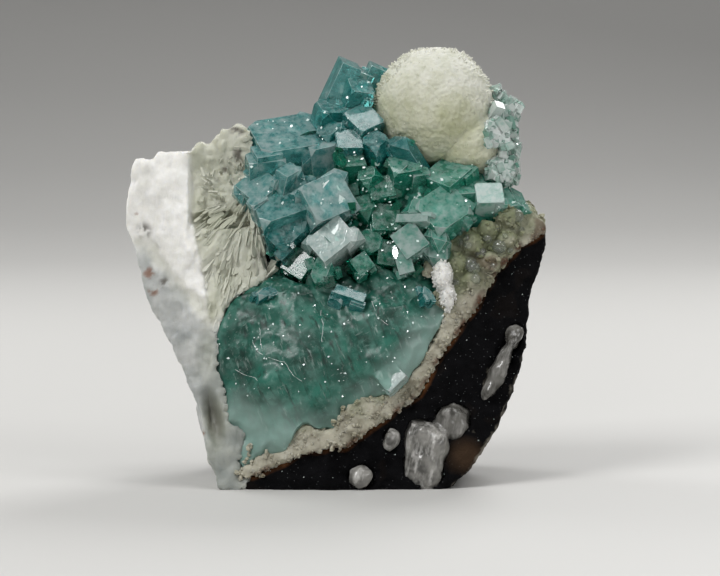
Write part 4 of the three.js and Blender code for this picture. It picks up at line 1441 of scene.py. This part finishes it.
# %% Chalcedony fillings
def chalcedony_finish():
    """Waxy, a little see-through, with soft upright bands and a darker part where it is clear."""
    material, tree, shader, place = new_material("chalcedony_waxy")
    body = between(tree, noisy(tree, place, 5, 3), "#5a5955", "#a5a39d", 0.38, 0.6)
    body = between(tree, drawn_out(tree, place, 78, 1.8, 4), body, "#e9e7e2", 0.48, 0.72)
    body = between(tree, kept(tree, "glassy"), body, "#45433d", 0.0, 1.3)
    tree.links.new(body, shader.inputs["Base Color"])
    shader.inputs["Roughness"].default_value = 0.2
    shader.inputs["IOR"].default_value = 1.54
    shader.inputs["Transmission Weight"].default_value = 0.3
    bumped(tree, shader, noisy(tree, place, 1.6, 3), 0.05)
    return material


def glassy(place, normal):
    """The clearer, darker parts: the upper right of the large filling and most of the vein."""
    lobe = ease(6, 3.5, (place - Vector((26.5, -16, 14.6))).length)
    vein = ease(31, 33, place.x) * (0.75 + 0.5 * grain(place, 3, 66))
    return max(0.0, min(1.0, max(0.8 * lobe, vein)))


waxy = chalcedony_finish()
for node in ("chalcedony_large", "chalcedony_vein", "chalcedony_small", "chalcedony_drop"):
    filling = copy_of(node, node + "_filling")
    skin(filling, 0.35, 1)
    press(filling, lambda p, n: 0.9 * grain(p, 4, 61, 2) - 0.5 * abs(grain(p, 6, 63, 2)) + 0.15)
    paint(filling, "glassy", glassy)
    finish(filling, node, waxy, 35)

# %% The spray
spray = copy_of("stilbite_spray", "stilbite_spray_core")
skin(spray, 0.35, 2)
press(spray, lambda p, n: 0.1 + 0.35 * grain(p, 1.2, 64))
paint(spray, "tone_and_shade", lambda p, n: 0.0)
paint(spray, "rust", lambda p, n: 0.0)
finish(spray, "stilbite_spray", white_stilbite, 40)
spray_blades = brush(
    "stilbite_spray_blades", "stilbite_spray", 260, 9, 0.6, 0.2,
    lambda p, n: n.y < 0.5, at(26, -10, 44), (0.1, 0.6),
)
paint(spray_blades, "tone_and_shade", lambda p, n: 0.0)
paint(spray_blades, "rust", lambda p, n: 0.0)
finish(spray_blades, "stilbite_spray", loose_stilbite, 0)

# %% [markdown]
# ## Studio
# The specimen stands on a pale sweep, lit by a large soft lamp from the upper left, a weaker one
# from the right and a rim lamp behind. The camera looks at it from straight ahead and a little
# above, from far off, as the photo does.

# %% Floor and backdrop
bpy.ops.object.select_all(action="DESELECT")
bpy.ops.mesh.primitive_plane_add(size=3.2, location=(0, 0, 0))
sweep = bpy.context.object
sweep.name = "studio_sweep"
bpy.ops.object.mode_set(mode="EDIT")
bpy.ops.mesh.select_mode(type="EDGE")
bpy.ops.mesh.select_all(action="DESELECT")
bpy.ops.object.mode_set(mode="OBJECT")
for edge in sweep.data.edges:
    edge.select = all(sweep.data.vertices[v].co.y > 1.5 for v in edge.vertices)
bpy.ops.object.mode_set(mode="EDIT")
bpy.ops.mesh.extrude_edges_move(TRANSFORM_OT_translate={"value": (0, 0, 2.4)})
bpy.ops.mesh.select_all(action="SELECT")
bpy.ops.mesh.normals_make_consistent(inside=False)
bpy.ops.object.mode_set(mode="OBJECT")
bend = sweep.modifiers.new("bend", "BEVEL")
bend.width = 1.0
bend.segments = 16
bend.limit_method = "ANGLE"
apply_all(sweep)
bpy.ops.object.shade_smooth()
floor_finish, _, floor_shader, _ = new_material("studio_paper")
floor_shader.inputs["Base Color"].default_value = shade_of("#c9c8c5")
floor_shader.inputs["Roughness"].default_value = 0.6
sweep.data.materials.append(floor_finish)


# %% Lamps
LAMP_SHARE = 0.85  # weakens them all together


def lamp(name, place, target, size, power):
    """A round soft lamp this wide, in metres, that looks at target."""
    light = bpy.data.lights.new(name, "AREA")
    light.shape = "DISK"
    light.size = size
    light.energy = power * LAMP_SHARE
    holder = bpy.data.objects.new(name, light)
    bpy.context.scene.collection.objects.link(holder)
    holder.location = place
    holder.rotation_euler = (Vector(target) - Vector(place)).to_track_quat("-Z", "Y").to_euler()


lamp("key", (-0.42, -0.5, 0.7), (0, 0, 0.05), 0.4, 5)
lamp("glint", (-0.30, -0.50, 0.55), (0, 0, 0.05), 0.04, 0.35)
lamp("glint_right", (0.25, -0.55, 0.5), (0, 0, 0.05), 0.05, 0.3)
lamp("glint_front", (-0.1, -0.75, 0.25), (0, 0, 0.05), 0.05, 0.3)
lamp("fill", (0.7, -0.4, 0.35), (0, 0, 0.05), 0.4, 1.8)
lamp("rim", (0.25, 0.5, 0.5), (0, 0, 0.06), 0.35, 3)
lamp("rim_left", (-0.5, 0.4, 0.3), (0, 0, 0.06), 0.35, 2)
lamp("top", (0.1, -0.05, 0.9), (0, 0, 0.05), 0.4, 2)
world = bpy.data.worlds.new("studio")
bpy.context.scene.world = world
world.use_nodes = True
world.node_tree.nodes["Background"].inputs["Color"].default_value = (1, 1, 1, 1)
world.node_tree.nodes["Background"].inputs["Strength"].default_value = 0.17
bpy.context.scene.view_settings.view_transform = "Standard"

# %% Camera
VIEW_WIDTH = 720 / 4420
DISTANCE = 1.2
TARGET = Vector((0.00543, -0.010, 0.0440))
RISE = math.radians(5)
camera = bpy.data.cameras.new("camera")
camera.sensor_width = 36
camera.lens = 36 * DISTANCE / VIEW_WIDTH
holder = bpy.data.objects.new("camera", camera)
bpy.context.scene.collection.objects.link(holder)
back = Vector((0, -math.cos(RISE), math.sin(RISE)))
holder.location = TARGET + back * DISTANCE
holder.rotation_euler = (-back).to_track_quat("-Z", "Y").to_euler()
bpy.context.scene.camera = holder
